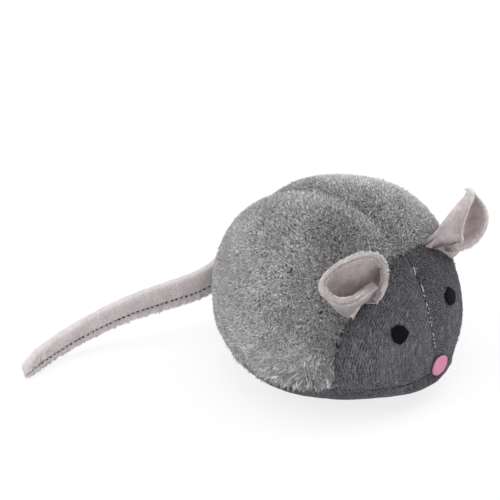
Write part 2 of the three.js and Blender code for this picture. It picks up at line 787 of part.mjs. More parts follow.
function screwShape() {
  const head = turned([
    [0, 0], [screwHeadRadius, 0], [screwHeadRadius, screwHeadHeight], [screwShankRadius, screwHeadHeight],
    [screwShankRadius, screwLength - screwShankRadius], [0, screwLength],
  ], smallSteps);
  const [arm, half] = [screwHeadRadius * 0.7, screwSlotWidth / 2];
  const slots = [
    block([-arm, -half, -overrun], [arm, half, screwSlotDepth]),
    block([-half, -arm, -overrun], [half, arm, screwSlotDepth]),
  ];
  return geometryOf(cutBy(solidOf(head), joined(...slots.map(solidOf))));
}

function cellShape() {
  const skirt = cellThickness - cellCapHeight;
  return turned([
    [0, 0], [cellCapRadius, 0], [cellCapRadius, cellCapHeight], [cellRadius, cellCapHeight],
    [cellRadius, skirt + cellCapHeight], [0, cellThickness],
  ], 24);
}

function contactNegativeShape() {
  const bottom = capsuleWall + seatGap;
  const top = bottom + contactThickness;
  const riser = cellRadius + 1.5 * seatGap;
  const [left, right] = [cellPlace - contactWidth / 2, cellPlace + contactWidth / 2];
  return geometryOf(joined(
    solidOf(rod(contactRadius, bottom, top, cellPlace, 0, 20)),
    solidOf(block([left, 0, bottom], [right, riser + contactThickness, top])),
    solidOf(block([left, riser, bottom], [right, riser + contactThickness, boardBottom - seatGap])),
  ));
}

function contactPositiveShape() {
  const [bottom, top] = [contactTop, contactTop + contactThickness];
  return geometryOf(joined(
    solidOf(rod(contactRadius, bottom, top, cellPlace, 0, 20)),
    solidOf(block([0, -contactWidth / 2, bottom], [cellPlace, contactWidth / 2, top])),
  ));
}

function boardShape() {
  const disc = solidOf(rod(capsuleBore - boardMargin, boardBottom, boardTop, 0, 0, roundSteps));
  const notches = postPlaces.map(([x, y]) =>
    solidOf(rod(postRadius + seatGap, boardBottom - overrun, boardTop + overrun, x, y)));
  return geometryOf(cutBy(disc, ...notches));
}

function chipShape() {
  const profile = [[0, 0], [chipRadius, 0]];
  for (let i = 1; i <= 4; i += 1) {
    const angle = Math.PI / 2 * i / 4;
    profile.push([i === 4 ? 0 : chipRadius * Math.cos(angle), chipHeight * Math.sin(angle)]);
  }
  return turned(profile, 20);
}

function switchShape() {
  const bottom = boardTop + seatGap;
  const half = switchWidth / 2;
  return geometryOf(joined(
    solidOf(block([-half, -half, bottom], [half, half, bottom + switchHeight])),
    solidOf(rod(plungerRadius, bottom, plungerTop)),
  ));
}

function buttonShape() {
  const flange = buttonRadius + buttonFlange;
  return turned([
    [0, stemBottom], [stemRadius, stemBottom], [stemRadius, flangeBottom], [flange, flangeBottom],
    [flange, flangeTop], [buttonRadius, flangeTop], [buttonRadius, buttonTop - buttonRise / 2],
    [buttonRadius * 0.82, buttonTop - buttonRise / 6], [buttonRadius * 0.45, buttonTop], [0, buttonTop],
  ], 28);
}

function springShape() {
  const [low, high] = [boardTop + seatGap + springWire / 2, flangeBottom - seatGap - springWire / 2];
  const [stepsRound, sides] = [12, 6];
  const steps = springTurns * stepsRound;
  const rings = [];
  for (let i = 0; i <= steps; i += 1) {
    const turn = 2 * Math.PI * i / stepsRound;
    const height = THREE.MathUtils.lerp(low, high, i / steps);
    rings.push(Array.from({ length: sides }, (_, k) => {
      const round = 2 * Math.PI * k / sides;
      const out = springRadius + springWire / 2 * Math.cos(round);
      const up = height + springWire / 2 * Math.sin(round);
      return new THREE.Vector3(out * Math.cos(turn), out * Math.sin(turn), up);
    }));
  }
  const pitch = (high - low) / springTurns;
  console.log(`least gap between the spring's turns: ${(pitch - springWire).toFixed(2)} mm`);
  return ringLoft(rings);
}

function speakerFrameShape() {
  const [inner, mouth] = [speakerDepth - speakerWall, speakerRadius - 1.4 * speakerWall];
  return turned([
    [0, inner], [speakerThroat - speakerWall, inner], [mouth, speakerRim - speakerWall / 2], [mouth, 0],
    [speakerRadius, 0], [speakerRadius, speakerRim], [speakerThroat, speakerDepth], [0, speakerDepth],
  ], 32);
}

function diaphragmShape() {
  const [fold, dome] = [diaphragmRadius * 0.8, diaphragmRadius * 0.4];
  const low = speakerRim / 4;
  const lower = [
    [0, low + diaphragmRise * 0.7], [dome, low + diaphragmRise * 0.3], [fold, low], [diaphragmRadius, low],
  ];
  const upper = lower.map(([radius, height]) => [radius, height + diaphragmThickness]).reverse();
  return turned([...lower, ...upper], 28);
}

function leadShape(side) {
  const top = new THREE.Vector3(speakerPlace - leadReach, side * leadSide, boardBottom - seatGap);
  const drop = (speakerRadius - leadReach) / (speakerRadius - speakerThroat);
  const roof = capsuleWall + seatGap + THREE.MathUtils.lerp(speakerRim, speakerDepth, drop);
  const bottom = new THREE.Vector3(top.x, top.y, roof + seatGap);
  const middle = top.clone().lerp(bottom, 0.5);
  middle.x -= leadBow;
  const route = new THREE.CatmullRomCurve3([bottom, middle, top]);
  const rings = [];
  for (let i = 0; i <= 10; i += 1) {
    const p = route.getPointAt(i / 10);
    rings.push(Array.from({ length: 8 }, (_, k) => {
      const round = 2 * Math.PI * k / 8;
      return p.clone().add(new THREE.Vector3(leadRadius * Math.cos(round), leadRadius * Math.sin(round), 0));
    }));
  }
  return ringLoft(rings);
}

// Assembly

function addPiece(group, name, geometry, material, place = [0, 0, 0]) {
  const clean = welded(geometry);
  clean.computeVertexNormals();
  const mesh = new THREE.Mesh(clean, material);
  mesh.name = name;
  mesh.position.set(...place);
  group.add(mesh);
  return mesh;
}

function addSkin(mouse) {
  const seats = [earSeat(), earSeat().mirror([0, 1, 0]), solidOf(tailSeat())];
  const plush = sidePanel(-1, panelSteps, plushThickness);
  const face = sidePanel(1, faceSteps, knitThickness);
  const trimmed = (panel) => geometryOf(cutBy(solidOf(panel), ...seats));
  addPiece(mouse, 'plush_left', trimmed(plush), finishes.plush);
  addPiece(mouse, 'plush_right', trimmed(mirrored(plush)), finishes.plush);
  addPiece(mouse, 'face_left', trimmed(face), finishes.knit);
  addPiece(mouse, 'face_right', trimmed(mirrored(face)), finishes.knit);
  addPiece(mouse, 'base_panel', geometryOf(basePanel()), finishes.baseCloth);
  addPiece(mouse, 'stuffing', geometryOf(cutBy(stuffingShape(), ...seats)), finishes.fibre);
}

function addTrim(mouse) {
  const forward = new THREE.Vector3(1, 0, 0);
  const eye = surfaceFrom(new THREE.Vector3(neckPlace, eyeSide, eyeHeight), forward);
  const eyeShape = feltPatch(eye, eyeHalfWidth, eyeHalfHeight, 10);
  addPiece(mouse, 'eye_left', eyeShape, finishes.eyeFelt);
  addPiece(mouse, 'eye_right', mirrored(eyeShape), finishes.eyeFelt);
  const tip = surfaceFrom(new THREE.Vector3(neckPlace, 0, noseHeight), forward);
  addPiece(mouse, 'nose', feltPatch(tip, noseHalfWidth, noseHalfHeight, 14), finishes.noseFelt);
}

function addLimbs(mouse) {
  const ear = earShape();
  addPiece(mouse, 'ear_left', ear, finishes.fleece);
  addPiece(mouse, 'ear_right', mirrored(ear), finishes.fleece);
  addPiece(mouse, 'tail', tailShape(), finishes.velour);
}

function addCapsule(mouse) {
  const capsule = new THREE.Group();
  capsule.position.z = capsulePlace;
  mouse.add(capsule);
  addPiece(capsule, 'capsule_base', geometryOf(capsuleBaseShape()), finishes.shell);
  addPiece(capsule, 'capsule_cover', geometryOf(capsuleCoverShape()), finishes.shell);
  postPlaces.forEach(([x, y], i) => {
    addPiece(capsule, `screw_${i + 1}`, screwShape(), finishes.steel, [x, y, 0]);
  });
  for (let i = 0; i < cellCount; i += 1) {
    addPiece(capsule, `cell_${i + 1}`, cellShape(), finishes.cell, [cellPlace, 0, cellFloor + i * cellPitch]);
  }
  addPiece(capsule, 'contact_negative', contactNegativeShape(), finishes.plated);
  addPiece(capsule, 'contact_positive', contactPositiveShape(), finishes.plated);
  addPiece(capsule, 'circuit_board', boardShape(), finishes.board);
  addPiece(capsule, 'sound_chip', chipShape(), finishes.chip, [chipPlace, 0, boardTop + seatGap]);
  addPiece(capsule, 'tact_switch', switchShape(), finishes.switchBody);
  addPiece(capsule, 'press_button', buttonShape(), finishes.button);
  addPiece(capsule, 'button_spring', springShape(), finishes.steel);
  const speaker = new THREE.Group();
  speaker.position.set(speakerPlace, 0, capsuleWall + seatGap);
  capsule.add(speaker);
  addPiece(speaker, 'speaker_frame', speakerFrameShape(), finishes.basket);
  addPiece(speaker, 'speaker_diaphragm', diaphragmShape(), finishes.film);
  addPiece(speaker, 'speaker_magnet', rod(magnetRadius, 0, magnetHeight, 0, 0, 24), finishes.magnet,
    [0, 0, speakerDepth + seatGap]);
  addPiece(capsule, 'lead_red', leadShape(1), finishes.redWire);
  addPiece(capsule, 'lead_black', leadShape(-1), finishes.blackWire);
}

const mouse = new THREE.Group();
addSkin(mouse);
addTrim(mouse);
addLimbs(mouse);
addCapsule(mouse);

export default mouse;
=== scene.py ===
import math

import bmesh
import bpy
import numpy as np
from mathutils import Euler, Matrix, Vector, kdtree


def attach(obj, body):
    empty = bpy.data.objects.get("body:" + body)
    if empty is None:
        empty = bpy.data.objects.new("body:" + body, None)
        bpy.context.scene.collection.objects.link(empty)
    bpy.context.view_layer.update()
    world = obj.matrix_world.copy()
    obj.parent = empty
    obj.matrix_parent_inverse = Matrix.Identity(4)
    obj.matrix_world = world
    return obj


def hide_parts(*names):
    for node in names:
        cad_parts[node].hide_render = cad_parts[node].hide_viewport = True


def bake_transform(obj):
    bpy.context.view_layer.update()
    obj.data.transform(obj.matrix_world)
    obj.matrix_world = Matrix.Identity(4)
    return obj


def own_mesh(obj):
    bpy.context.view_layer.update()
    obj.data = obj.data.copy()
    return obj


# Squeaky toy mouse: plush back, brushed knit face, fleece ears, velour tail, felt eyes and nose, dressed over
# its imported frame. The places below are in millimetres, in the frame's axes, and MM turns them to metres.

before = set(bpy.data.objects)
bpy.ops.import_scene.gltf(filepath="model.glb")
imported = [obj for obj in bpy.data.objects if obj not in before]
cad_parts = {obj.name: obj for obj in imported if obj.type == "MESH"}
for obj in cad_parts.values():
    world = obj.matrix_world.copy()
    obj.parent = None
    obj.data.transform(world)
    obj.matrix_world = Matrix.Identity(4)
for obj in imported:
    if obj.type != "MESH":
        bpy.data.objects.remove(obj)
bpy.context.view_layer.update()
MM = 0.001


# The camera stands where the photograph was taken from, above the toy and ahead of its right side. It looks a little
# past the toy, in degrees, so that the toy stands where it does in the picture.
CAMERA_AZIMUTH, CAMERA_ELEVATION, CAMERA_DISTANCE = 39, 30, 600
CAMERA_TARGET = Vector((0, 0, 38))
LOOK_ASIDE, LOOK_ABOVE = 3.33, 0.856
SENSOR_WIDTH, FOCAL_LENGTH = 36, 113.7


def placed(name, data):
    """A new object in the scene."""
    thing = bpy.data.objects.new(name, data)
    bpy.context.scene.collection.objects.link(thing)
    return thing


def make_camera():
    elevation = math.radians(CAMERA_ELEVATION)
    back = Vector((0, -math.cos(elevation), math.sin(elevation)))
    back.rotate(Euler((0, 0, math.radians(CAMERA_AZIMUTH))))
    camera = placed("camera", bpy.data.cameras.new("camera"))
    camera.location = (CAMERA_TARGET + back * CAMERA_DISTANCE) * MM
    look = Euler((math.radians(LOOK_ABOVE), math.radians(LOOK_ASIDE), 0))
    camera.rotation_euler = ((-back).to_track_quat("-Z", "Y") @ look.to_quaternion()).to_euler()
    camera.data.sensor_width = SENSOR_WIDTH
    camera.data.lens = FOCAL_LENGTH
    camera.data.clip_start = 0.01
    bpy.context.scene.camera = camera


make_camera()

# The stuffed body's form, as in the frame

REAR_REACH, NOSE_REACH, SIDE_REACH, BODY_HEIGHT = 50.6, 46.6, 48.3, 71.9
REAR_WAIST, NOSE_WAIST = 29.5, 10.6
REAR_CROWN, NOSE_CROWN = 2.29, 1.87
REAR_BELLY, NOSE_BELLY = 2.97, 2.02
NOSE_TAPER, NOSE_TAPER_POWER, WAIST_DROP_POWER = 0.09, 1.3, 5.1
FOOT_CUT = 0.5
NECK, BASE_SEAM, SEAM_GAP = 29.0, 13.0, 0.5
SEAM_DIP, SEAM_DIP_WIDTH = 1.0, 4.2
FAN_DEPTH, HEART_SHARE, ROW_POWER = 20.0, 0.4, 1.3
BODY_HEART = np.array([0, 0, 30.0])
UP, DOWN, LEFT, FORWARD = np.array([(0, 0, 1), (0, 0, -1), (0, 1, 0), (1, 0, 0)], float)


def mix(low, high, share):
    return low + (high - low) * share


def smooth_step(value, low, high):
    share = np.clip((value - low) / (high - low), 0, 1)
    return share * share * (3 - 2 * share)


def unit(vectors):
    return vectors / np.maximum(np.linalg.norm(vectors, axis=-1, keepdims=True), 1e-12)


def finished_mesh(bm, name):
    mesh = bpy.data.meshes.new(name)
    bm.to_mesh(mesh)
    bm.free()
    mesh.shade_smooth()
    return mesh


def search_tree(places):
    """A tree that finds the place nearest to another."""
    tree = kdtree.KDTree(len(places))
    for index, place in enumerate(places):
        tree.insert(place, index)
    tree.balance()
    return tree


def length_along(line):
    """How far along a line each of its places is."""
    return np.concatenate([[0], np.cumsum(np.linalg.norm(np.diff(line, axis=0), axis=-1))])


def part_way(line, gone, wanted):
    """The values on a line where its length is the wanted one."""
    return np.stack([np.interp(wanted, gone, column) for column in line.T], -1)


def body_level(p):
    """1 on the body's surface, less inside and more outside."""
    x, y, z = p[..., 0], p[..., 1], p[..., 2]
    along = x / np.where(x > 0, NOSE_REACH, REAR_REACH)
    across = y / SIDE_REACH
    facing = along / np.maximum(np.hypot(along, across), 1e-12)
    for _ in range(3):
        taper = 1 - NOSE_TAPER * np.maximum(facing, 0) ** NOSE_TAPER_POWER
        across = y / SIDE_REACH / taper
        facing = along / np.maximum(np.hypot(along, across), 1e-12)
    spread = np.hypot(along, across)
    nose = ((1 + facing) / 2) ** WAIST_DROP_POWER
    waist = mix(REAR_WAIST, NOSE_WAIST, nose)
    height = (z + FOOT_CUT) * BODY_HEIGHT / (BODY_HEIGHT + FOOT_CUT)
    above = height > waist
    power = np.where(above, mix(REAR_CROWN, NOSE_CROWN, nose), mix(REAR_BELLY, NOSE_BELLY, nose))
    rise = np.where(above, (height - waist) / (BODY_HEIGHT - waist), 1 - height / waist)
    return (spread ** power + rise ** power) ** (1 / power)


def surface_from(origin, direction):
    """Where rays from inside the body meet its surface."""
    origin, direction = np.broadcast_arrays(np.asarray(origin, float), np.asarray(direction, float))
    low, high = np.zeros(origin.shape[:-1]), np.full(origin.shape[:-1], 170.0)
    for _ in range(34):
        middle = (low + high) / 2
        inside = body_level(origin + direction * middle[..., None]) < 1
        low, high = np.where(inside, middle, low), np.where(inside, high, middle)
    return origin + direction * low[..., None]


def outward(p):
    slopes = [body_level(p + step) - body_level(p - step) for step in np.eye(3) * 0.02]
    return unit(np.stack(slopes, -1))


def onto_body(p):
    """The places on the body's surface at the same height and the same way from its middle."""
    return surface_from(p * UP, unit(p - p * UP))


def neck_lean(z):
    """How far the neck seam stands back of its place, low on the sides."""
    return 3.8 * smooth_step(-z, -46, -18)


def seam_lean(p):
    """How far the face's middle seam stands aside of its place, high on the brow."""
    return 2.2 * smooth_step(p[..., 2], 22, 52) * smooth_step(p[..., 0], 20, 30)


def leant(p):
    """Places on the face, drawn aside with its middle seam."""
    aside = seam_lean(p) * np.exp(-((p[..., 1] / 9) ** 2))
    return np.where(aside[..., None] > 0.001, onto_body(p + LEFT * aside[..., None]), p)


def seam_dip(p):
    """How far the cloth is drawn in along the spine, neck and base seams."""
    places = np.stack([p[..., 1] - seam_lean(p), p[..., 0] - NECK + neck_lean(p[..., 2]), p[..., 2] - BASE_SEAM])
    dips = np.exp(-((places / SEAM_DIP_WIDTH) ** 2))
    dips[0] *= 1 + smooth_step(-p[..., 0], 5, 35)
    return SEAM_DIP * dips.max(0)


# How much smaller the skin is made than the form, how far it may then swell either way, and the solver's units to a
# millimetre
SKIN_SHRINK, SKIN_LIMITS, SKIN_SCALE = 0.9, (-0.3, 1.1), 0.02
SKIN_PRESSURE, SKIN_FRAMES = 20, 20
SKIN_ROWS, SKIN_COLUMNS = 73, 144
FAR_BROW, FAR_BROW_SWELL, FAR_BROW_WIDTH = np.array([28, 34, 39.5]), 1.3, 5


def blow_up_skin():
    """How far the filling swells the skin between its seams, for each way from the body's middle: a closed cloth,
    made a little small, held along the seams and the bottom panel, and blown up. It is worked at twenty times its
    size, where the solver's own units suit it."""
    bm = bmesh.new()
    bmesh.ops.create_icosphere(bm, subdivisions=6, radius=1)
    ways = unit(np.array([vert.co[:] for vert in bm.verts]))
    skin = surface_from(BODY_HEART, ways)
    out, dip = outward(skin), seam_dip(skin)
    small = SKIN_SHRINK * smooth_step(skin[:, 2], BASE_SEAM - 6, BASE_SEAM + 2)
    start = skin - out * (dip + small)[:, None]
    for vert, place in zip(bm.verts, start):
        vert.co = place * SKIN_SCALE
    mesh = finished_mesh(bm, "skin")
    piece = placed("skin", mesh)
    held = piece.vertex_groups.new(name="held")
    firm = np.where(skin[:, 2] < BASE_SEAM, 1, np.minimum(dip / SEAM_DIP, 1) ** 3)
    for index, weight in enumerate(firm.tolist()):
        held.add([index], weight, "REPLACE")
    cloth = piece.modifiers.new("blown_up", "CLOTH").settings
    cloth.vertex_group_mass = "held"
    cloth.use_pressure = True
    cloth.uniform_pressure_force = SKIN_PRESSURE
    cloth.effector_weights.gravity = 0
    cloth.mass = 0.01
    cloth.tension_stiffness = cloth.compression_stiffness = 5
    cloth.shear_stiffness = 1.7
    for number in range(1, SKIN_FRAMES + 1):
        bpy.context.scene.frame_set(number)
    blown = np.zeros(len(skin) * 3, np.float32)
    piece.evaluated_get(bpy.context.evaluated_depsgraph_get()).data.vertices.foreach_get("co", blown)
    bpy.context.scene.frame_set(1)
    bpy.data.objects.remove(piece)
    bpy.data.meshes.remove(mesh)
    moved = ((blown.reshape(-1, 3) / SKIN_SCALE - start) * out).sum(1)
    swell = np.clip(moved, *SKIN_LIMITS) - small
    tree = search_tree(ways)
    grid = np.zeros((SKIN_ROWS, SKIN_COLUMNS))
    for row, rise in enumerate(np.linspace(-math.pi / 2, math.pi / 2, SKIN_ROWS)):
        for column in range(SKIN_COLUMNS):
            turn = 2 * math.pi * column / SKIN_COLUMNS
            way = (math.cos(rise) * math.cos(turn), math.cos(rise) * math.sin(turn), math.sin(rise))
            grid[row, column] = np.mean([swell[index] for _, index, _ in tree.find_n(way, 3)])
    return grid


SKIN = blow_up_skin()


def swell(p):
    """How far the skin stands out of, or back from, the body's form at a place."""
    way = unit(p - BODY_HEART)
    row = (np.arcsin(np.clip(way[..., 2], -1, 1)) / math.pi + 0.5) * (SKIN_ROWS - 1)
    column = (np.arctan2(way[..., 1], way[..., 0]) / (2 * math.pi) % 1) * SKIN_COLUMNS
    low, left = np.minimum(row.astype(int), SKIN_ROWS - 2), column.astype(int)
    pairs = [mix(SKIN[low + step, left % SKIN_COLUMNS], SKIN[low + step, (left + 1) % SKIN_COLUMNS], column - left)
             for step in (0, 1)]
    brow = np.exp(-(((p - FAR_BROW) / FAR_BROW_WIDTH) ** 2).sum(-1))
    return mix(*pairs, row - low) + FAR_BROW_SWELL * brow


def settled(p, depth=0.0):
    return p - outward(p) * (seam_dip(p) + depth - swell(p))[..., None]


def waves(p, length, seed):
    """A smooth uneven field between about -1 and 1, with waves of about the given length."""
    rng = np.random.default_rng(seed)
    total = np.zeros(p.shape[:-1])
    for _ in range(9):
        way = unit(rng.normal(size=3)) * 2 * math.pi / length / rng.uniform(0.6, 1.5)
        total += np.sin(p @ way + rng.uniform(0, 2 * math.pi))
    return total / 4.5


def side_rows(side, rows, steps):
    """Rows of places from the neck seam to the nose or the rump, each from the middle seam to the base seam."""
    gap = SEAM_GAP / 2
    start, bottom = NECK + side * gap, BASE_SEAM + gap
    sill = np.array([0, gap, bottom])
    foot = surface_from([start, gap, bottom], LEFT)
    first = math.atan2(foot[1] - gap, side * foot[0])
    share = (np.arange(steps + 1) / steps)[:, None]
    surface = []
    for row in range(rows + 1):
        turn = first * math.cos(math.pi / 2 * (row / rows) ** ROW_POWER)
        along = surface_from(sill, [side * math.cos(turn), math.sin(turn), 0])
        angle = 0 if row == 0 else math.atan2(side * (along[0] - start), bottom + FAN_DEPTH)
        up = np.array([side * math.sin(angle), 0, math.cos(angle)])
        low = np.array([start, gap, -FAN_DEPTH]) + up * (bottom + FAN_DEPTH) / math.cos(angle)
        heart = mix(low, surface_from(low, up), HEART_SHARE)
        reach = surface_from(low, LEFT) - heart
        sweep = math.atan2(reach[1], reach @ up)
        ways = up * np.cos(sweep * share) + LEFT * np.sin(sweep * share)
        surface.append(surface_from(heart, ways))
    surface[-1][:] = surface_from(sill, [side, 0, 0])
    surface = np.array(surface)
    near_neck = (np.arange(rows, -1, -1) / rows)[:, None] ** 1.5
    lean = (neck_lean(surface[..., 2]) * near_neck)[..., None]
    return np.where(lean > 0, onto_body(surface - FORWARD * lean), surface)


def to_side(points, side):
    """Places on the toy's left side, or their mirror images where side is -1."""
    return points * np.array([1, side, 1])


# Materials

def linear(code):
    """An sRGB hex colour as linear light."""
    parts = [int(code[i:i + 2], 16) / 255 for i in (1, 3, 5)]
    return (*[v / 12.92 if v <= 0.04045 else ((v + 0.055) / 1.055) ** 2.4 for v in parts], 1)


def add(tree, kind, sockets=(), **settings):
    """Adds a node with its settings, its sockets' values and the links that come into it, and gives its outputs.
    The sockets go by place or by key, and a colour may be a hex code."""
    node = tree.nodes.new("ShaderNode" + kind)
    for name, value in settings.items():
        setattr(node, name, value)
    for key, value in (sockets if isinstance(sockets, dict) else dict(enumerate(sockets))).items():
        if isinstance(value, bpy.types.NodeSocket):
            tree.links.new(value, node.inputs[key])
        else:
            node.inputs[key].default_value = linear(value) if isinstance(value, str) else value
    return node.outputs


def make_material(name, recipe, *values):
    """A material whose recipe gives its shader, or the values of a Principled one. There its normal is given as a
    height, how deep that goes in millimetres, and how strongly it shows."""
    material = bpy.data.materials.new(name)
    material.use_nodes = True
    tree = material.node_tree
    tree.nodes.clear()
    shader = recipe(tree, *values)
    if isinstance(shader, dict):
        if "Normal" in shader:
            height, depth, strength = shader["Normal"]
            relief = {"Height": height, "Distance": depth * MM, "Strength": strength}
            shader["Normal"] = add(tree, "Bump", relief)[0]
        shader = add(tree, "BsdfPrincipled", shader)[0]
    add(tree, "OutputMaterial", (shader,))
    return material


def weighted(tree, *terms, start=0.0):
    """A start and the sum of some values, each times its weight."""
    for term in terms:
        start = add(tree, "Math", (*term, start), operation="MULTIPLY_ADD")[0]
    return start


def graded(tree, value, *grades):
    """A value times a factor for each grade. A grade is a source, the span that it crosses and the factor's two
    ends, which are 0 and 1 if it gives none. The factor goes smoothly from one end to the other."""
    for grade in grades:
        factor = add(tree, "MapRange", grade, interpolation_type="SMOOTHSTEP")[0]
        value = add(tree, "Math", (value, factor), operation="MULTIPLY")[0]
    return value


def coloured(tree, dark, light, share, tone=1.0):
    """A colour between two others, then made lighter or darker by its tone."""
    colour = add(tree, "Mix", {0: share, 6: dark, 7: light}, data_type="RGBA")[2]
    return add(tree, "VectorMath", {0: colour, "Scale": tone}, operation="SCALE")[0]


def noise(tree, size, detail=2.0, roughness=0.5, vector=None, stretch=(1, 1, 1), turn=0):
    """Unevenness of a size in millimetres, in object space or in the given coordinates, stretched along an axis
    and turned by degrees."""
    place = vector or add(tree, "TexCoord")["Object"]
    if turn:
        place = add(tree, "Mapping", {"Vector": place, "Rotation": (0, 0, math.radians(turn))})[0]
    scale = 1 / (size * (1 if vector else MM))
    place = add(tree, "Mapping", {"Vector": place, "Scale": [scale / s for s in stretch]})[0]
    return add(tree, "TexNoise", {"Vector": place, "Scale": 1.0, "Detail": detail, "Roughness": roughness})["Fac"]


def strand(tree, root, tip):
    """Brushed fibre: dark where it leaves the cloth, pale at the tip, and each strand a little apart in tone."""
    height, tone = [add(tree, "Attribute", attribute_name=name)["Fac"] for name in ("height", "tone")]
    return {
        "Base Color": coloured(tree, root, tip, height, tone), "Roughness": 0.85, "Specular IOR Level": 0.15,
        "Sheen Weight": 0.12, "Sheen Roughness": 0.5,
    }


WALE, GAP_LENGTH = 1.05, 1.5


def knit(tree, dark, light, haze, show=1.0):
    """Brushed jersey: columns of dark gaps between its wales, broken along their length, under a haze of raised
    fibre that lies aslant. The gaps show most near the neck seam. Painted shade darkens the brow, the far side
    and a band along the neck seam, and painted light brightens the cloth low on the near side."""
    place = add(tree, "Attribute", attribute_name="knit")["Vector"]
    across, along, _ = add(tree, "SeparateXYZ", (place,))
    wale = weighted(tree, (across, 1 / WALE), start=noise(tree, 7, vector=place))
    column = add(tree, "Math", (wale,), operation="ROUND")[0]
    lengthwise = add(tree, "CombineXYZ", (weighted(tree, (column, 7.3)), along))[0]
    gaps = graded(
        tree, show, (add(tree, "Math", (wale, 0.5), operation="PINGPONG")[0], 0.36, 0.14),
        (noise(tree, GAP_LENGTH, detail=0, vector=lengthwise, stretch=(0.2, 1, 1)), 0.42, 0.52),
        (across, 18, 3, 0.7, 1.0), (noise(tree, 8, vector=place), 0.35, 0.6, 0.45, 1.0))
    grain = noise(tree, 0.5, detail=3, roughness=0.7)
    streak = noise(tree, 0.5, vector=place, stretch=(1, 6, 1), turn=35)
    cloth = coloured(tree, dark, light, graded(tree, 1.0, (grain, 0.3, 0.7)))
    _, aside, up = add(tree, "SeparateXYZ", (add(tree, "TexCoord")["Object"],))
    brow = weighted(tree, (aside, 0.4), start=up)
    # Painted shade high on the brow, on the far side and near the neck seam, and painted light low on the near side
    tone = graded(
        tree, weighted(tree, (gaps, -0.85), start=1.0), (brow, 0.018, 0.054, 1.35, 0.7),
        (across, 0.5, 6, 0.75, 1.0), (aside, -0.018, -0.006, 1.0, 0.84))
    height = weighted(tree, (grain, 0.6), (gaps, -1))
    return {
        "Base Color": coloured(tree, cloth, haze, graded(tree, 0.6, (streak, 0.48, 0.72)), tone), "Roughness": 0.95,
        "Specular IOR Level": 0.1, "Sheen Weight": 0.12, "Normal": (height, 0.4, 0.7),
    }


def fleece(tree, dark, light, depth, shade_channel=None):
    """Polyester fleece: matted soft fibre with small unevenness about 0.6 mm across and worn patches of 3.5 mm.
    On an ear the flap's tones, one for its rim, its inside and its outside, are painted shade and light: darker at its
    root, in its folds and where it faces down, lighter deep inside."""
    fine = noise(tree, 0.6, detail=4, roughness=0.7)
    broad = noise(tree, 3.5, detail=3, roughness=0.6)
    streak = noise(tree, 0.6, stretch=(1, 1, 5))
    patches = graded(tree, 1.0, (broad, 0.3, 0.7, -0.475, 0.025))
    share = weighted(tree, (streak, 0.5), (fine, 0.9), start=patches)
    tone = 1.0
    # On an ear, the flap's painted shade and light
    if shade_channel is not None:
        tone = add(tree, "SeparateXYZ", (add(tree, "Attribute", attribute_name="flap")["Vector"],))[shade_channel]
    height = weighted(tree, (fine, 1), (streak, 0.6))
    return {
        "Base Color": coloured(tree, dark, light, share, tone), "Roughness": 0.95, "Specular IOR Level": 0.1,
        "Sheen Weight": 0.35, "Normal": (height, depth, 0.7),
    }


def felt(tree, dark, light, sheen=0.1):
    """Pressed felt: short tangled fibre with no grain, uneven over about 0.35 mm."""
    fine = noise(tree, 0.35, detail=4, roughness=0.75)
    share = weighted(tree, (fine, 0.6), (noise(tree, 3), 0.5))
    return {
        "Base Color": coloured(tree, dark, light, share), "Roughness": 1.0, "Specular IOR Level": 0.05,
        "Sheen Weight": sheen, "Normal": (fine, 0.25, 0.8),
    }


def velour(tree, dark, light):
    """Knitted velour on a folded strip: short nap that lies across the strip and shows as fine streaks."""
    place = add(tree, "Attribute", attribute_name="strip")["Vector"]
    streak = noise(tree, 0.8, detail=3, roughness=0.65, vector=place, stretch=(1, 8, 1))
    fine = noise(tree, 0.4, detail=3, roughness=0.7)
    share = weighted(tree, (streak, 0.75), (noise(tree, 7, detail=3, vector=place), 0.5), start=-0.12)
    height = weighted(tree, (streak, 1), (fine, 0.4))
    return {
        "Base Color": coloured(tree, dark, light, share), "Roughness": 0.9, "Specular IOR Level": 0.15,
        "Sheen Weight": 0.35, "Normal": (height, 0.35, 0.7),
    }


def thread(tree, dark, light):
    """Spun polyester thread: a twist of about 0.3 mm."""
    twist = noise(tree, 0.3)
    return {
        "Base Color": coloured(tree, dark, light, twist), "Roughness": 0.7, "Specular IOR Level": 0.3,
        "Normal": (twist, 0.1, 0.6),
    }


def moulded(tree, colour, roughness, specks=0.04):
    """Injection-moulded plastic or resin: even colour with a faint eroded texture of about 0.15 mm."""
    fine, broad = noise(tree, 0.15), noise(tree, 8)
    return {
        "Base Color": coloured(tree, colour, colour, 1.0, weighted(tree, (broad, specks * 2), start=1 - specks)),
        "Roughness": weighted(tree, (broad, 0.12), start=roughness - 0.06), "IOR": 1.5,
        "Normal": (fine, 0.02, 0.4),
    }


def metal(tree, colour, roughness):
    """Rolled, plated or ground metal with fine lines left by the rolls, about 0.08 mm apart."""
    lines = noise(tree, 0.08, detail=3, stretch=(1, 12, 1))
    return {
        "Base Color": coloured(tree, colour, colour, 1.0, weighted(tree, (noise(tree, 4), 0.12), start=0.94)),
        "Metallic": 1.0, "Roughness": weighted(tree, (lines, 0.2), start=roughness - 0.1),
        "Normal": (lines, 0.01, 0.3),
    }


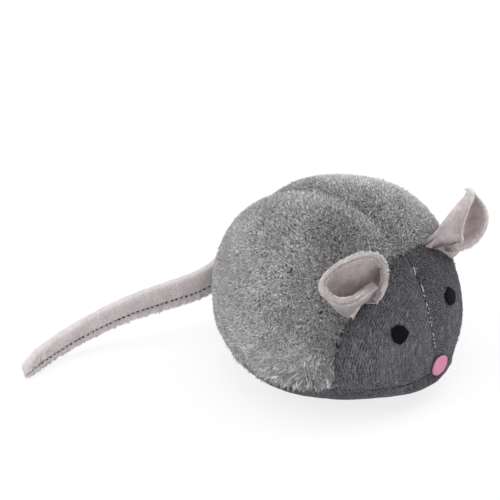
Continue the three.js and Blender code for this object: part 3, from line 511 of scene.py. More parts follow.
# Each finish: its recipe, its darker and lighter colour or its only one, and what else the recipe asks for
FINISHES = {name: make_material(name, recipe, *values) for name, recipe, *values in (
    ("plush_pile", strand, "#3c3b3e", "#d2d1d3"),
    ("plush_backing", fleece, "#525154", "#706f72", 0.4),
    ("face_knit", knit, "#434146", "#66646a", "#8f8d94"),
    ("face_fuzz", strand, "#504e54", "#a09ea5"),
    ("base_knit", knit, "#38383c", "#525257", "#6a6a6f", 0.9),
    ("fleece_outside", fleece, "#9a9091", "#cbc0c1", 0.35, 2),
    ("fleece_inside", fleece, "#a39495", "#d6c9c9", 0.45, 1),
    ("fleece_edge", fleece, "#c6bebf", "#e8e1e2", 0.45, 0),
    ("fleece_fuzz", strand, "#d6cdce", "#f4eeee"),
    ("tail_velour", velour, "#a79d9e", "#ece4e5"),
    ("tail_nap", strand, "#bdb3b4", "#faf4f5"),
    ("eye_felt", felt, "#08070a", "#151418", 0.02),
    ("nose_felt", felt, "#b86c8e", "#e39cba"),
    ("pale_thread", thread, "#b2afb3", "#e4e2e5"),
    ("dark_thread", thread, "#1d1c20", "#3b3a3f"),
    ("tail_thread", thread, "#1f1a1c", "#3f3739"),
    ("fibre_fill", fleece, "#dedbd4", "#f4f2ee", 0.8),
    ("ivory_abs", moulded, "#e8e6df", 0.45),
    ("grey_abs", moulded, "#d8d5cd", 0.4),
    ("zinc_steel", metal, "#b7babd", 0.35),
    ("nickel_steel", metal, "#c5c6c8", 0.25),
    ("spring_strip", metal, "#c9c3b2", 0.3),
    ("solder_mask", moulded, "#2e6b45", 0.4, 0.1),
    ("potting_resin", moulded, "#17171a", 0.35),
    ("pressed_steel", metal, "#8b8d90", 0.45),
    ("polyester_film", moulded, "#d4d8db", 0.25),
    ("ground_magnet", metal, "#55575b", 0.45),
    ("red_insulation", moulded, "#b3262a", 0.4),
    ("black_insulation", moulded, "#1c1c1e", 0.4),
)}

# The frame's own pieces, which are shown as they are, under their finish
CAPSULE_PIECES = {
    "ivory_abs": ["capsule_base", "capsule_cover"], "grey_abs": ["press_button"], "zinc_steel": ["screw_1", "screw_2"],
    "nickel_steel": ["cell_1", "cell_2", "cell_3"], "spring_strip": ["contact_negative", "contact_positive"],
    "solder_mask": ["circuit_board"], "potting_resin": ["sound_chip", "tact_switch"],
    "pressed_steel": ["speaker_frame"], "polyester_film": ["speaker_diaphragm"], "ground_magnet": ["speaker_magnet"],
    "red_insulation": ["lead_red"], "black_insulation": ["lead_black"],
}


def finish_capsule():
    for finish, nodes in CAPSULE_PIECES.items():
        for node in nodes:
            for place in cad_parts[node].material_slots:
                place.material = FINISHES[finish]


# Meshes

def add_grid(bm, points):
    """A sheet of faces through rows of places. Gives each of its vertices, with its row and column."""
    rows, columns = points.shape[:2]
    verts = bmesh.ops.create_grid(bm, x_segments=columns - 1, y_segments=rows - 1, size=1)["verts"]
    grid = [(vert, round((vert.co.y + 1) / 2 * (rows - 1)), round((vert.co.x + 1) / 2 * (columns - 1)))
            for vert in verts]
    for vert, row, column in grid:
        vert.co = points[row, column]
    return grid


def grid_mesh(name, points, heart, layers=None):
    """A sheet through rows of places, looking away from a place or from a place for each row. Places that coincide
    are joined, so a row can close or come to a point. Each layer is one vector for each place, kept on the mesh
    under its name."""
    looks = np.cross(np.diff(points, axis=1)[:-1], np.diff(points, axis=0)[:, :-1])
    layers = layers or {}
    if (looks * (points - heart)[:-1, :-1]).sum() < 0:
        points = points[:, ::-1]
        layers = {key: layer[:, ::-1] for key, layer in layers.items()}
    bm = bmesh.new()
    kept = {key: bm.verts.layers.float_vector.new(key) for key in layers}
    for vert, row, column in add_grid(bm, points * MM):
        for key, layer in kept.items():
            vert[layer] = layers[key][row, column]
    bmesh.ops.remove_doubles(bm, verts=bm.verts, dist=0.00001)
    return finished_mesh(bm, name)


def add_piece(name, mesh, finishes, slot, body="body", stands_for=(), bend=None):
    """Puts a finished mesh into the scene, on the CAD body that it moves with. Where bend is given, the mesh keeps
    its place baked in and goes on no body, and the two places of bend are not used."""
    piece = placed(name, mesh)
    for finish in finishes:
        mesh.materials.append(FINISHES[finish])
    if bend is None:
        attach(piece, body)
    else:
        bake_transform(piece)
    if stands_for:
        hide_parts(*stands_for)
    return piece


def thicken(piece, thickness, rim=0, inside=0):
    """Thickens cloth inwards. Its rim and its inner side may have other materials, counted on from its own."""
    layer = piece.modifiers.new("thickness", "SOLIDIFY")
    layer.thickness = thickness * MM
    layer.offset = -1
    layer.material_offset_rim = rim
    layer.material_offset = inside
    return layer


def rounded(piece):
    rounding = piece.modifiers.new("rounding", "SUBSURF")
    rounding.levels = rounding.render_levels = 1


def add_panel(name, node, finish, slot, places, thickness, layers=None):
    """A cloth panel of the toy's skin, stretched over the filling."""
    panel = add_piece(name, grid_mesh(name, places, BODY_HEART, layers), [finish], slot, stands_for=[node])
    thicken(panel, thickness)


def strand_unit(waist):
    """One three-sided strand along +Z, 1 long and 1 thick, pointed at both ends. It is widest at its waist."""
    bm = bmesh.new()
    for low, high, thin, thick in ((0, waist, 0, 1), (waist, 1, 1, 0)):
        sizes = {"radius1": thin, "radius2": thick, "depth": high - low}
        made = bmesh.ops.create_cone(bm, cap_ends=False, segments=3, **sizes)["verts"]
        bmesh.ops.translate(bm, verts=made, vec=(0, 0, (low + high) / 2))
    bmesh.ops.remove_doubles(bm, verts=bm.verts, dist=0.0001)
    return unit_arrays(bm)


def unit_arrays(bm):
    bm.verts.index_update()
    places = np.array([vert.co[:] for vert in bm.verts])
    faces = [[vert.index for vert in face.verts] for face in bm.faces]
    bm.free()
    return places, faces


def repeated_mesh(name, faces, places, layers=None):
    """A mesh of many copies of one small shape. places holds each copy's corners."""
    count, corners = places.shape[:2]
    sizes = np.array([len(face) for face in faces])
    pattern = np.concatenate([np.array(face) for face in faces])
    starts = np.concatenate([[0], np.cumsum(sizes)[:-1]])
    mesh = bpy.data.meshes.new(name)
    mesh.vertices.add(count * corners)
    mesh.loops.add(count * len(pattern))
    mesh.polygons.add(count * len(faces))
    steps = np.arange(count)[:, None]
    mesh.vertices.foreach_set("co", (places * MM).astype(np.float32).ravel())
    mesh.loops.foreach_set("vertex_index", (pattern[None] + steps * corners).astype(np.int32).ravel())
    mesh.polygons.foreach_set("loop_start", (starts[None] + steps * len(pattern)).astype(np.int32).ravel())
    for key, values in (layers or {}).items():
        layer = mesh.attributes.new(key, "FLOAT", "POINT")
        layer.data.foreach_set("value", values.astype(np.float32).ravel())
    mesh.update(calc_edges=True)
    mesh.shade_smooth()
    return mesh


def add_strands(name, finish, slot, roots, ways, lengths, widths, tones, bends=None, waist=0.6, **sewn):
    """A piece of strands, one from each root along its way. bends holds how far each tip is drawn aside."""
    shape, faces = strand_unit(waist)
    side = unit(np.cross(ways, UP + 0.01))
    other = np.cross(ways, side)
    spread = shape[None, :, :2] * np.reshape(widths, (-1, 1, 1)) / 2
    rise = shape[None, :, 2:]
    places = roots[:, None] + ways[:, None] * rise * lengths[:, None, None]
    places = places + side[:, None] * spread[..., :1] + other[:, None] * spread[..., 1:]
    if bends is not None:
        places = places + bends[:, None] * rise ** 2
    places[..., 2] = np.maximum(places[..., 2], 0.05)
    heights = np.broadcast_to(rise[..., 0], places.shape[:2])
    layers = {"height": heights, "tone": np.broadcast_to(tones[:, None], places.shape[:2])}
    add_piece(name, repeated_mesh(name, faces, places, layers), [finish], slot, **sewn)


def tufted(tips, centres):
    """Which centre each tip is drawn to, and the way there."""
    tree = search_tree(centres)
    nearest = np.array([tree.find(tip)[1] for tip in tips])
    return nearest, centres[nearest] - tips


def scatter(points, count, rng, weight=None):
    """Random places on a grid of places, even over its area or by the weight that a function gives."""
    a, b, c, d = points[:-1, :-1], points[:-1, 1:], points[1:, 1:], points[1:, :-1]
    area = np.linalg.norm(np.cross(c - a, d - b), axis=-1) / 2
    if weight:
        area = area * weight((a + b + c + d) / 4)
    cells = rng.choice(area.size, count, p=(area / area.sum()).ravel())
    row, column = np.unravel_index(cells, area.shape)
    u, v = rng.random((2, count, 1))
    upper = mix(a[row, column], b[row, column], u)
    lower = mix(d[row, column], c[row, column], u)
    return mix(upper, lower, v)


# The plush back. The underfur stands up and fills it, and the longer guard hairs lie over it in tufts.

PILE_DEPTH, PLUSH_CLOTH = 2.2, 0.6
UNDERFUR_COUNT, GUARD_COUNT = 31000, 31000


def along_surface(ways, normals):
    return unit(ways - normals * (ways * normals).sum(-1, keepdims=True))


def shag(p):
    """1 where the pile is long and loose, low on the sides, and 0 where it is sheared short."""
    return smooth_step(-p[..., 2], -36, -16) * smooth_step(p[..., 0], -42, 0)


def pile_lay(p, normals, rng, spread):
    """The nap is brushed back and down, and wanders in patches."""
    lean = np.array([-0.85, 0, -0.55]) * (0.35 + 1.1 * shag(p))[:, None] + rng.normal(size=p.shape) * spread
    wander = np.stack([waves(p, 15, seed) for seed in (1, 2, 3)], -1) * 0.4
    clump = np.stack([waves(p, 2.4, seed) for seed in (4, 5, 6)], -1) * 0.5
    return along_surface(lean + wander + clump, normals)


def pile_tone_and_shade(p, rng, spread):
    """How pale the pile is. Painted shade darkens it in the hollow behind the ears, along the neck seam and the
    spine, on the crown and towards the rump, and painted light brightens the far side high up. Besides that it
    has uneven patches.
    """
    x, y, z = p[..., 0], p[..., 1], p[..., 2]
    # Painted shade behind the ears, along the neck seam, on the crown and towards the rump
    behind_ears = np.exp(-((x - 15) / 15) ** 2 - ((np.abs(y) - 22) / 17) ** 2) * smooth_step(z, 32, 50)
    tone = 1 - 0.2 * np.exp(-((NECK - neck_lean(z) - x) / 8) ** 2)
    tone = tone * (1 - 0.3 * behind_ears) * (1 - 0.2 * smooth_step(z, 58, 70)) * (1 - 0.2 * smooth_step(-x, -10, 40))
    # Painted light on the far side high up, and painted shade along the spine
    tone = tone * (1 + 0.3 * smooth_step(y, 6, 20) * smooth_step(z, 45, 60)) * (1 - 0.08 * np.exp(-((y / 4) ** 2)))
    tone = tone * (1 + 0.08 * waves(p, 17, 11) + 0.1 * waves(p, 5, 12) + 0.12 * waves(p, 1.7, 13))
    return tone * np.exp(rng.normal(size=p.shape[:-1]) * spread)


def add_underfur(name, rows, rng):
    roots = scatter(rows, UNDERFUR_COUNT, rng)
    normals = outward(roots)
    long = shag(roots)
    lean = rng.normal(0.75, 0.3, len(roots)) + 0.35 * long
    ways = unit(normals + pile_lay(roots, normals, rng, 0.75) * lean[:, None])
    rise = np.maximum((ways * normals).sum(-1), 0.4)
    lengths = PILE_DEPTH / rise * rng.uniform(0.75, 1.1, len(roots)) + rng.exponential(0.16, len(roots))
    widths = rng.uniform(0.3, 0.48, len(roots))
    bends = pile_lay(roots, normals, rng, 0.6) * rng.uniform(0.1, 0.6, len(roots))[:, None]
    add_strands(name, "plush_pile", "plush", settled(roots, PILE_DEPTH + 0.35), ways,
                lengths, widths, pile_tone_and_shade(roots, rng, 0.32), bends, 0.7)


def add_guard_hairs(name, surface, rng):
    roots = scatter(surface, GUARD_COUNT, rng, lambda p: 0.35 + 1.3 * shag(p))
    normals = outward(roots)
    long = shag(roots)
    lean = rng.normal(0.9, 0.3, len(roots)) + 0.75 * long
    lay = pile_lay(roots, normals, rng, 0.45)
    ways = unit(normals + lay * lean[:, None])
    near_base = smooth_step(-roots[:, 2], -21, -14) * smooth_step(roots[:, 0], 0, 24)
    lengths = rng.uniform(2.2, 3.2, len(roots)) * (1 + 0.9 * long) * (1 - 0.4 * near_base)
    lengths = lengths + rng.exponential(0.25, len(roots))
    widths = rng.uniform(0.24, 0.4, len(roots)) * (1 + 0.35 * long)
    bends = (lay * 0.3 - normals * 0.25 + DOWN * (0.1 + 0.1 * long[:, None])) * lengths[:, None]
    foot = settled(roots, PILE_DEPTH * 0.85 + 0.35)
    tips = foot + ways * lengths[:, None] + bends
    picked = rng.random(len(roots)) < 0.2 - 0.16 * long
    tuft, pull = tufted(tips, tips[picked] + lay[picked] * (0.9 * long[picked])[:, None])
    bends = bends + pull * (0.5 + 0.25 * long)[:, None]
    tones = pile_tone_and_shade(roots, rng, 0.36) * np.exp(rng.normal(size=picked.sum()) * 0.16)[tuft] ** (1 + 1.2 * long)
    add_strands(name, "plush_pile", "plush", foot, ways, lengths, widths, tones * 1.02, bends, 0.55)


def add_plush(side, word):
    surface = to_side(side_rows(-1, 64, 64), side)
    add_panel(f"plush_{word}_cloth", f"plush_{word}", "plush_backing", "plush", settled(surface, PILE_DEPTH),
              PLUSH_CLOTH)

    rng = np.random.default_rng(20 + side)
    for part, rows in (("front", surface[:36]), ("rear", surface[35:])):
        add_underfur(f"plush_{word}_{part}_underfur", rows, rng)
    add_guard_hairs(f"plush_{word}_guard", surface, rng)


# The knit face and the base

FACE_CLOTH, BASE_CLOTH = 1.0, 1.4
FACE_FUZZ_COUNT = 6500


def knit_layer(points):
    """How far each place lies from the neck seam, across the wales, and from the middle seam, along them."""
    across = np.zeros(points.shape[:2])
    across[1:] = np.cumsum(np.linalg.norm(np.diff(points, axis=0), axis=-1), 0)
    along = np.zeros(points.shape[:2])
    along[:, 1:] = np.cumsum(np.linalg.norm(np.diff(points, axis=1), axis=-1), 1)
    return np.stack([across, along, np.zeros_like(along)], -1)


def add_face(side, word):
    surface = side_rows(1, 56, 56)
    layer = knit_layer(surface)
    surface = leant(to_side(surface, side))
    relief = 0.12 * waves(surface, 5, 31) + 0.08 * waves(surface, 2.2, 32)
    add_panel(f"face_{word}_cloth", f"face_{word}", "face_knit", "face_knit", settled(surface, 0.2 - relief),
              FACE_CLOTH, layers={"knit": layer})

    rng = np.random.default_rng(40 + side)
    roots = scatter(surface, FACE_FUZZ_COUNT, rng)
    normals = outward(roots)
    lean = np.array([-0.5, 0, -0.7]) + rng.normal(size=roots.shape) * 0.7
    ways = unit(normals * rng.uniform(0.1, 0.4, len(roots))[:, None] + along_surface(lean, normals))
    lengths = rng.uniform(0.9, 2.2, len(roots))
    bends = -normals * 0.15 * lengths[:, None]
    tones = np.exp(rng.normal(-0.25, 0.35, len(roots)))
    add_strands(f"face_{word}_fuzz", "face_fuzz", "face_knit", settled(roots, 0.3), ways, lengths, 0.11, tones, bends)


def add_base():
    """The dished bottom panel. Its foot is flat where the toy stands on it."""
    around, rows = 120, 30
    turns = np.linspace(0, 2 * math.pi, around + 1)
    turns[-1] = 0
    dives = math.pi / 2 * (1 - np.cos(np.linspace(0, math.pi / 2, rows + 1)))
    ways = np.stack([
        np.cos(dives)[:, None] * np.cos(turns), np.cos(dives)[:, None] * np.sin(turns),
        -np.sin(dives)[:, None] * np.ones_like(turns)], -1)
    ways[-1] = DOWN
    surface = surface_from([0, 0, BASE_SEAM - SEAM_GAP / 2], ways)
    dip = SEAM_DIP * np.exp(-((surface[..., 2] - BASE_SEAM) / SEAM_DIP_WIDTH) ** 2)
    places = surface - outward(surface) * (dip + 0.1 - swell(surface))[..., None]
    ruck = 0.25 * waves(surface, 7, 52) * smooth_step(surface[..., 2], 3, 8)
    places = places + outward(surface) * ruck[..., None]
    places[..., 2] = np.maximum(places[..., 2], 0.02)
    layer = np.stack([surface[..., 0] + 60, surface[..., 1] + 60, np.zeros_like(dip)], -1)
    add_panel("base_cloth", "base_panel", "base_knit", "base_cloth", places,
              BASE_CLOTH, layers={"knit": layer})


def add_fill():
    """The filling: the frame's own mass with the loose surface that fibre has."""
    bm = bmesh.new()
    bm.from_mesh(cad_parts["stuffing"].data)
    bmesh.ops.remove_doubles(bm, verts=bm.verts, dist=0.00001)
    bmesh.ops.subdivide_edges(bm, edges=bm.edges, cuts=2, use_grid_fill=True)
    bmesh.ops.triangulate(bm, faces=bm.faces)
    bm.normal_update()
    for vert in bm.verts:
        p = np.array(vert.co) / MM
        vert.co -= vert.normal * float(0.35 + 0.3 * waves(p, 5, 51)) * MM
    mesh = finished_mesh(bm, "fibre_fill")
    mesh.materials.clear()
    piece = add_piece("fibre_fill", mesh, ["fibre_fill"], "fibre_fill", stands_for=["stuffing"])


def add_button_spring():
    """The frame's own coil, which shortens as the button is pressed."""
    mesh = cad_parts["button_spring"].data.copy()
    mesh.name = "button_coil"
    mesh.materials.clear()
    piece = add_piece("button_coil", mesh, ["zinc_steel"], "steel", stands_for=["button_spring"])
    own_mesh(piece)


# Eyes and nose

def felt_patch(node, middle, outline, finish):
    """A cut piece of felt, glued flat on the cloth. outline holds the turn and the reach of each corner."""
    outwards = outward(middle)
    sideways = unit(np.cross(UP, outwards))
    upwards = np.cross(outwards, sideways)
    turns, reaches = np.radians([turn for turn, _ in outline]), np.array([reach for _, reach in outline])
    corners = np.stack([np.cos(turns), np.sin(turns)], -1) * reaches[:, None]
    edges = np.stack([mix(corners, np.roll(corners, -1, 0), i / FELT_STEPS) for i in range(FELT_STEPS)], 1)
    around = np.concatenate([edges.reshape(-1, 2), edges[0, :1]])
    flat = sideways * around[:, :1] + upwards * around[:, 1:]
    rows = []
    for share, lift in FELT_SECTION:
        place = surface_from(middle - outwards * 4 + flat * share, outwards)
        rough = 0.05 * waves(place, 0.9, 61) * (share > 0.8)
        sunk = mix(0.25, seam_dip(place), 0.3) - swell(place)
        rows.append(place + outward(place) * (lift + rough - sunk)[..., None])
    mesh = grid_mesh(f"{node}_felt", np.array(rows), middle - outwards)
    rounded(add_piece(f"{node}_felt", mesh, [finish], finish, stands_for=[node]))


# From the middle under the felt, round its edge and over its top: how far out, as a share, and how high
FELT_SECTION = [(0.0, 0.1), (0.9, 0.1), (0.985, 0.2), (1.0, 0.45), (1.0, 0.75), (0.97, 0.93), (0.9, 1.0), (0.75, 1.02),
                (0.5, 1.04), (0.25, 1.05), (0.0, 1.05)]
FELT_STEPS = 8
# The turn in degrees and the reach in millimetres of each patch's corners, as cut by hand.
RIGHT_EYE_CORNERS = [(-150, 3.5), (-102, 3.8), (-61, 3.4), (-5, 4.0), (50, 3.4), (95, 3.8), (138, 4.5), (175, 3.5)]
LEFT_EYE_CORNERS = [(-135, 3.3), (-80, 3.3), (-32, 3.8), (5, 3.9), (78, 4.0), (136, 4.2), (176, 3.6)]
NOSE_CORNERS = [(turn, 3.95 + 0.65 * math.cos(math.radians(2 * turn - 16))) for turn in range(0, 360, 12)]


def add_eyes_and_nose():
    for node, aside, height, corners, finish in (
            ("eye_left", 14.0, 36.2, LEFT_EYE_CORNERS, "eye_felt"),
            ("eye_right", -16.4, 34.6, RIGHT_EYE_CORNERS, "eye_felt"),
            ("nose", 0.8, 15.2, NOSE_CORNERS, "nose_felt")):
        felt_patch(node, surface_from([NECK, aside, height], FORWARD), corners, finish)


# Ears

EAR_CENTRE = np.array([34.68, 35.0, 61.26])
EAR_ROOT = np.array([28.38, 22.303, 48.764])
EAR_ROOT_HALF = np.array([0, 8.2, -6.091])
EAR_STEEP, EAR_WIDE, EAR_WARP = np.array([(-0.2, 6.6, -7.9), (5.4, -9.6, -7.0), (3.0, 0.2, 2.9)])
EAR_THROUGH = unit(np.cross(EAR_ROOT_HALF, EAR_CENTRE - EAR_ROOT))
EAR_FOLD, EAR_THICKNESS = 1.0, 1.7
# How far the ear folds forward, in degrees, and how far its fibres then have to stay from the body
EAR_FORWARD, EAR_CLEARANCE = 30, 1.8
# The ear is sewn on with its root this deep in the body. These two heights over the root give the places of its bend,
# which are passed on but not used.
EAR_SUNK, EAR_BEND = 2.6, (-0.5, 3.5)
EAR_FUZZ_COUNT = 5200
# Each ear is a fleece disc folded to a cone. Its two ends meet low in front, both times with the end on the toy's
# right over the other. Degrees round the opening: the sheet's ends, where its root's turns lie in half circles,
# which end lies over, where the ends are drawn aside and how far, and where the rim swells.
# The inside value is painted light: the left ear's inside is painted 15% lighter than the right's.
EAR_FOLDS = {
    "right": {"ends": (74, 426), "turns": (1.59, 1.18, 0, -0.5), "reach": 1.0, "puff": 0.3, "over": (395, 425),
              "drawn": (((116, 80), (-2.0, -3.5, -0.8)), ((325, 430), (-1.8, -2.3, 9.0))),
              "swell": (((125, 40), (0.7, -0.5, 0.2)), ((190, 40), (0, 0, 0.6))), "inside": 1.0},
    "left": {"ends": (62, 466), "turns": (1.35, 1.2, 0, -0.4), "reach": 1.25, "puff": 1.8, "over": (150, 95),
             "drawn": (((150, 105), (-0.6, -0.2, 2.9)), ((92, 62), (-9.8, -8.4, -2.2)), ((420, 446), (-1, -3.0, 0.0))),
             "swell": (((225, 35), (0, 0, -2.0)),), "inside": 1.15},
}


def ear_root(degrees, folds):
    fold = np.interp(degrees, (folds["ends"][0], 133, 290, 450), folds["turns"])[..., None] * math.pi
    reach = np.where(np.cos(fold) > 0, folds["reach"], 1) * np.cos(fold)
    return EAR_ROOT + EAR_ROOT_HALF * reach - FORWARD * EAR_FOLD * np.sin(fold)


def ear_rim(degrees, folds):
    turn = np.radians(degrees)[..., None]
    ring = EAR_CENTRE + EAR_STEEP * np.cos(turn) + EAR_WIDE * np.sin(turn) + EAR_WARP * np.cos(2 * turn)
    for (middle, width), way in folds["swell"]:
        past = (degrees - middle + 180) % 360 - 180
        ring = ring + np.array(way) * np.exp(-((past / width) ** 2))[..., None]
    for span, way in folds["drawn"]:
        ring = ring + np.array(way) * smooth_step(degrees, *span)[..., None]
    return ring


def ear_wall(degrees, share, folds):
    """The cone's wall: flat where it is sewn on, and puffed out halfway up."""
    root, rim = ear_root(degrees, folds), ear_rim(degrees, folds)
    length = np.linalg.norm(rim - root, axis=-1, keepdims=True)
    share = share[..., None]
    axis = mix(EAR_ROOT, EAR_CENTRE, share)
    wall = mix(root, rim, share)
    through = ((wall - axis) @ EAR_THROUGH)[..., None]
    wall = wall - EAR_THROUGH * through * (1 - share ** 0.35)
    bulge = (1.3 + folds["puff"] * np.exp(-(((degrees - 215) / 60) ** 2)))[..., None] * np.minimum(length / 14, 1)
    lift = FORWARD * 1.4 * smooth_step(degrees, *folds["over"])[..., None]
    return wall + unit(wall - axis) * bulge * np.sin(math.pi * share) ** 2 + lift


def painted_ear_shading(wall, heart, share, ends):
    """Painted shade and light on the fleece, for its rim, its inside and its outside: painted shade towards the
    root, on the rim low down, inside near the sheet's ends and towards the rim, and outside where it faces down,
    and painted light deep inside the cone and on the rest of the outside."""
    facing = unit(np.cross(np.gradient(wall, axis=1), np.gradient(wall, axis=0)))
    facing = facing * np.sign(((wall - heart) * facing).sum(-1, keepdims=True))
    under = smooth_step(-facing[..., 2], 0.15, 0.5)
    rim = mix(0.5, 1, smooth_step(share, 0.35, 0.9))
    inside = mix(1.35, 0.8, smooth_step(share, 0.2, 0.9))
    inside = inside * mix(mix(0.7, 1, smooth_step(ends, 8, 30)), 1, smooth_step(share, 0.3, 0.6))
    outside = mix(1.12, mix(0.36, 0.62, smooth_step(share, 0.35, 0.95)), under)
    shade = mix(0.62, 1, smooth_step(share, 0.04, 0.2))
    return np.stack([rim, inside * shade, outside * shade], -1)


def add_ear_fuzz(side, word, folds):
    """Loose fibre round the cut rim. Where it would run into the body as the ear folds forward, there is none."""
    rng, count = np.random.default_rng(80 + side), EAR_FUZZ_COUNT
    degrees = rng.uniform(*folds["ends"], count)
    deep = rng.uniform(-0.1, 1.1, count)
    rim = ear_wall(degrees, np.full(count, 0.98), folds)
    up = unit(rim - ear_wall(degrees, np.full(count, 0.9), folds))
    along = unit(ear_wall(degrees + 0.5, np.full(count, 0.98), folds) - rim)
    inwards = unit(np.cross(up, along))
    inwards *= np.sign(((EAR_CENTRE - rim) * inwards).sum(-1, keepdims=True))
    edge = np.sqrt(np.clip(1 - (2 * deep - 1) ** 2, 0, 1))[:, None]
    roots = rim + inwards * (EAR_THICKNESS * deep)[:, None] - up * (0.9 - 0.6 * edge)
    ways = unit(up * (0.35 + edge) + inwards * (2 * deep - 1)[:, None] + rng.normal(size=up.shape) * 0.35)
    arm, axis, turn = roots - EAR_ROOT, unit(EAR_ROOT_HALF), math.radians(EAR_FORWARD)
    folded = EAR_ROOT + mix((arm @ axis)[:, None] * axis, arm, math.cos(turn)) + np.cross(axis, arm) * math.sin(turn)
    clear = (body_level(folded) - 1) * SIDE_REACH > EAR_CLEARANCE
    roots, ways, count = roots[clear], ways[clear], clear.sum()
    roots, ways = to_side(roots, side), to_side(ways, side)
    lengths = rng.uniform(0.5, 1.1, count)
    add_strands(f"ear_{word}_fuzz", "fleece_fuzz", "ear_fleece", roots, ways, lengths, 0.2,
                np.exp(rng.normal(0, 0.07, count)), body=f"{word}_ear")


def add_ear(side, word):
    folds = EAR_FOLDS[word]
    degrees, share = np.meshgrid(np.linspace(*folds["ends"], 90), np.linspace(0.02, 0.98, 20))
    wall = ear_wall(degrees, share, folds)
    wall = wall + 0.2 * waves(wall, 5, 71 + side)[..., None] * np.array([1, 0.3, 0.5])
    wall, heart = to_side(wall, side), to_side(mix(EAR_ROOT, EAR_CENTRE, share[..., None]), side)
    ends = np.minimum(degrees - degrees.min(), degrees.max() - degrees)
    # Painted shade and light for the rim, the inside and the outside; the left ear's inside is painted lighter
    layer = painted_ear_shading(wall, heart, share, ends) * [1, folds["inside"], 1]
    wall = wall - outward(wall) * (EAR_SUNK * smooth_step(-share, -0.08, -0.02))[..., None]
    thick = mix(0.3, 1, smooth_step(ends, 0, 28))
    rise = EAR_CENTRE - EAR_ROOT
    rise = unit(rise - unit(EAR_ROOT_HALF) * (rise @ unit(EAR_ROOT_HALF)))
    bend = [to_side(EAR_ROOT + rise * reach, side) for reach in EAR_BEND]
    mesh = grid_mesh("ear_cloth", wall, heart, {"flap": layer, "thick": np.stack([thick] * 3, -1)})
    piece = add_piece(f"ear_{word}_cloth", mesh, ["fleece_outside", "fleece_inside", "fleece_edge"], "ear_fleece",
                      body=f"{word}_ear", stands_for=[f"ear_{word}"], bend=bend)
    group = piece.vertex_groups.new(name="thick")
    for index, value in enumerate(mesh.attributes["thick"].data):
        group.add([index], value.vector[0], "REPLACE")
    thicken(piece, EAR_THICKNESS, rim=2, inside=1).vertex_group = "thick"
    rounded(piece)
    add_ear_fuzz(side, word, folds)


# Tail

TAIL_X, TAIL_HEIGHT, TAIL_LENGTH = -52.2925, 26.5, 97.8
TAIL_ROOT_WIDTH, TAIL_TIP_WIDTH, TAIL_THICKNESS, TAIL_ROUND = 14.8, 8.8, 3.8, 1.6
TAIL_TIP_HEIGHT = TAIL_TIP_WIDTH / 2 + 0.2
# The strip's stretches: which way each goes, in degrees, its share of the length, and how much of the fall from the
# root's height to the tip's is still to come before each
TAIL_HEADINGS = [-103, -125, -125, -120, -110, -95, -84]
TAIL_STEPS = [0.194, 0.136, 0.149, 0.136, 0.15, 0.161, 0.074]
TAIL_FALLS = [1, 0.77, 0.62, 0.48, 0.31, 0.14, 0.02, 0]
# The strip is sewn into the spine's seam. It comes straight out of the pile, then turns aside where it swings.
TAIL_SEWN = np.array([(-45.2, 0, TAIL_HEIGHT), (-49.4, 0.1, TAIL_HEIGHT), (-52.3, -1.9, TAIL_HEIGHT)])
TAIL_BEND = np.array([(-49.3, 0, TAIL_HEIGHT), (-53.2, -2.8, TAIL_HEIGHT)])
TAIL_NAP_COUNT = 9500
# The topstitching: how far apart, and how far down the strip as a share of its height
STITCH_PITCH, STITCH_DOWN = 2.0, 0.7


def tail_route(count):
    """Even places along the strip, and how far along each is."""
    p = np.array([TAIL_X, 0, TAIL_HEIGHT])
    points = list(TAIL_SEWN)
    for heading, step, fall in zip(TAIL_HEADINGS, TAIL_STEPS, TAIL_FALLS[1:]):
        way = np.array([math.cos(math.radians(heading)), math.sin(math.radians(heading)), 0])
        p = p + way * step * TAIL_LENGTH
        p[2] = mix(TAIL_TIP_HEIGHT, TAIL_HEIGHT, fall)
        points.append(p)
    points = np.array([2 * points[0] - points[1], *points, 2 * points[-1] - points[-2]])
    curve = []
    for a, b, c, d in zip(points, points[1:], points[2:], points[3:]):
        before, gap, after = [np.linalg.norm(q - r) ** 0.5 for q, r in ((b, a), (c, b), (d, c))]
        start = ((b - a) / before - (c - a) / (before + gap) + (c - b) / gap) * gap
        end = ((c - b) / gap - (d - b) / (gap + after) + (d - c) / after) * gap
        t = np.linspace(0, 1, 60, endpoint=False)[:, None]
        curve.append(b + start * t + (3 * (c - b) - 2 * start - end) * t ** 2 + (2 * (b - c) + start + end) * t ** 3)
    curve = np.concatenate([*curve, points[-2:-1]])
    gone = length_along(curve)
    wanted = np.linspace(0, gone[-1], count)
    return part_way(curve, gone, wanted), wanted


def tail_section(share_down):
    """Half the strip's thickness, as a share, from its fold at the top to its raw edges at the bottom."""
    downs = [0, 0.04, 0.1, 0.2, 0.38, 0.55, 0.64, 0.7, 0.76, 0.86, 0.95, 1]
    outs = [0, 0.6, 0.88, 1.0, 1.0, 0.92, 0.7, 0.32, 0.6, 0.68, 0.55, 0]
    return np.interp(share_down, downs, outs)


def tail_frame(count):
    route, gone = tail_route(count)
    heading = unit(np.gradient(route, axis=0))
    sideways = unit(np.stack([-heading[:, 1], heading[:, 0], np.zeros(count)], -1))
    share = gone / gone[-1]
    short = 1 - np.minimum((gone[-1] - gone) / TAIL_ROUND, 1)
    full = np.maximum(np.sqrt(1 - short ** 2), 0.05)
    half_width = mix(TAIL_ROOT_WIDTH, TAIL_TIP_WIDTH, share) / 2 * mix(0.55, 1, full)
    return route, gone, sideways, half_width, TAIL_THICKNESS / 2 * full * mix(0.45, 1, smooth_step(gone, 1, 6))


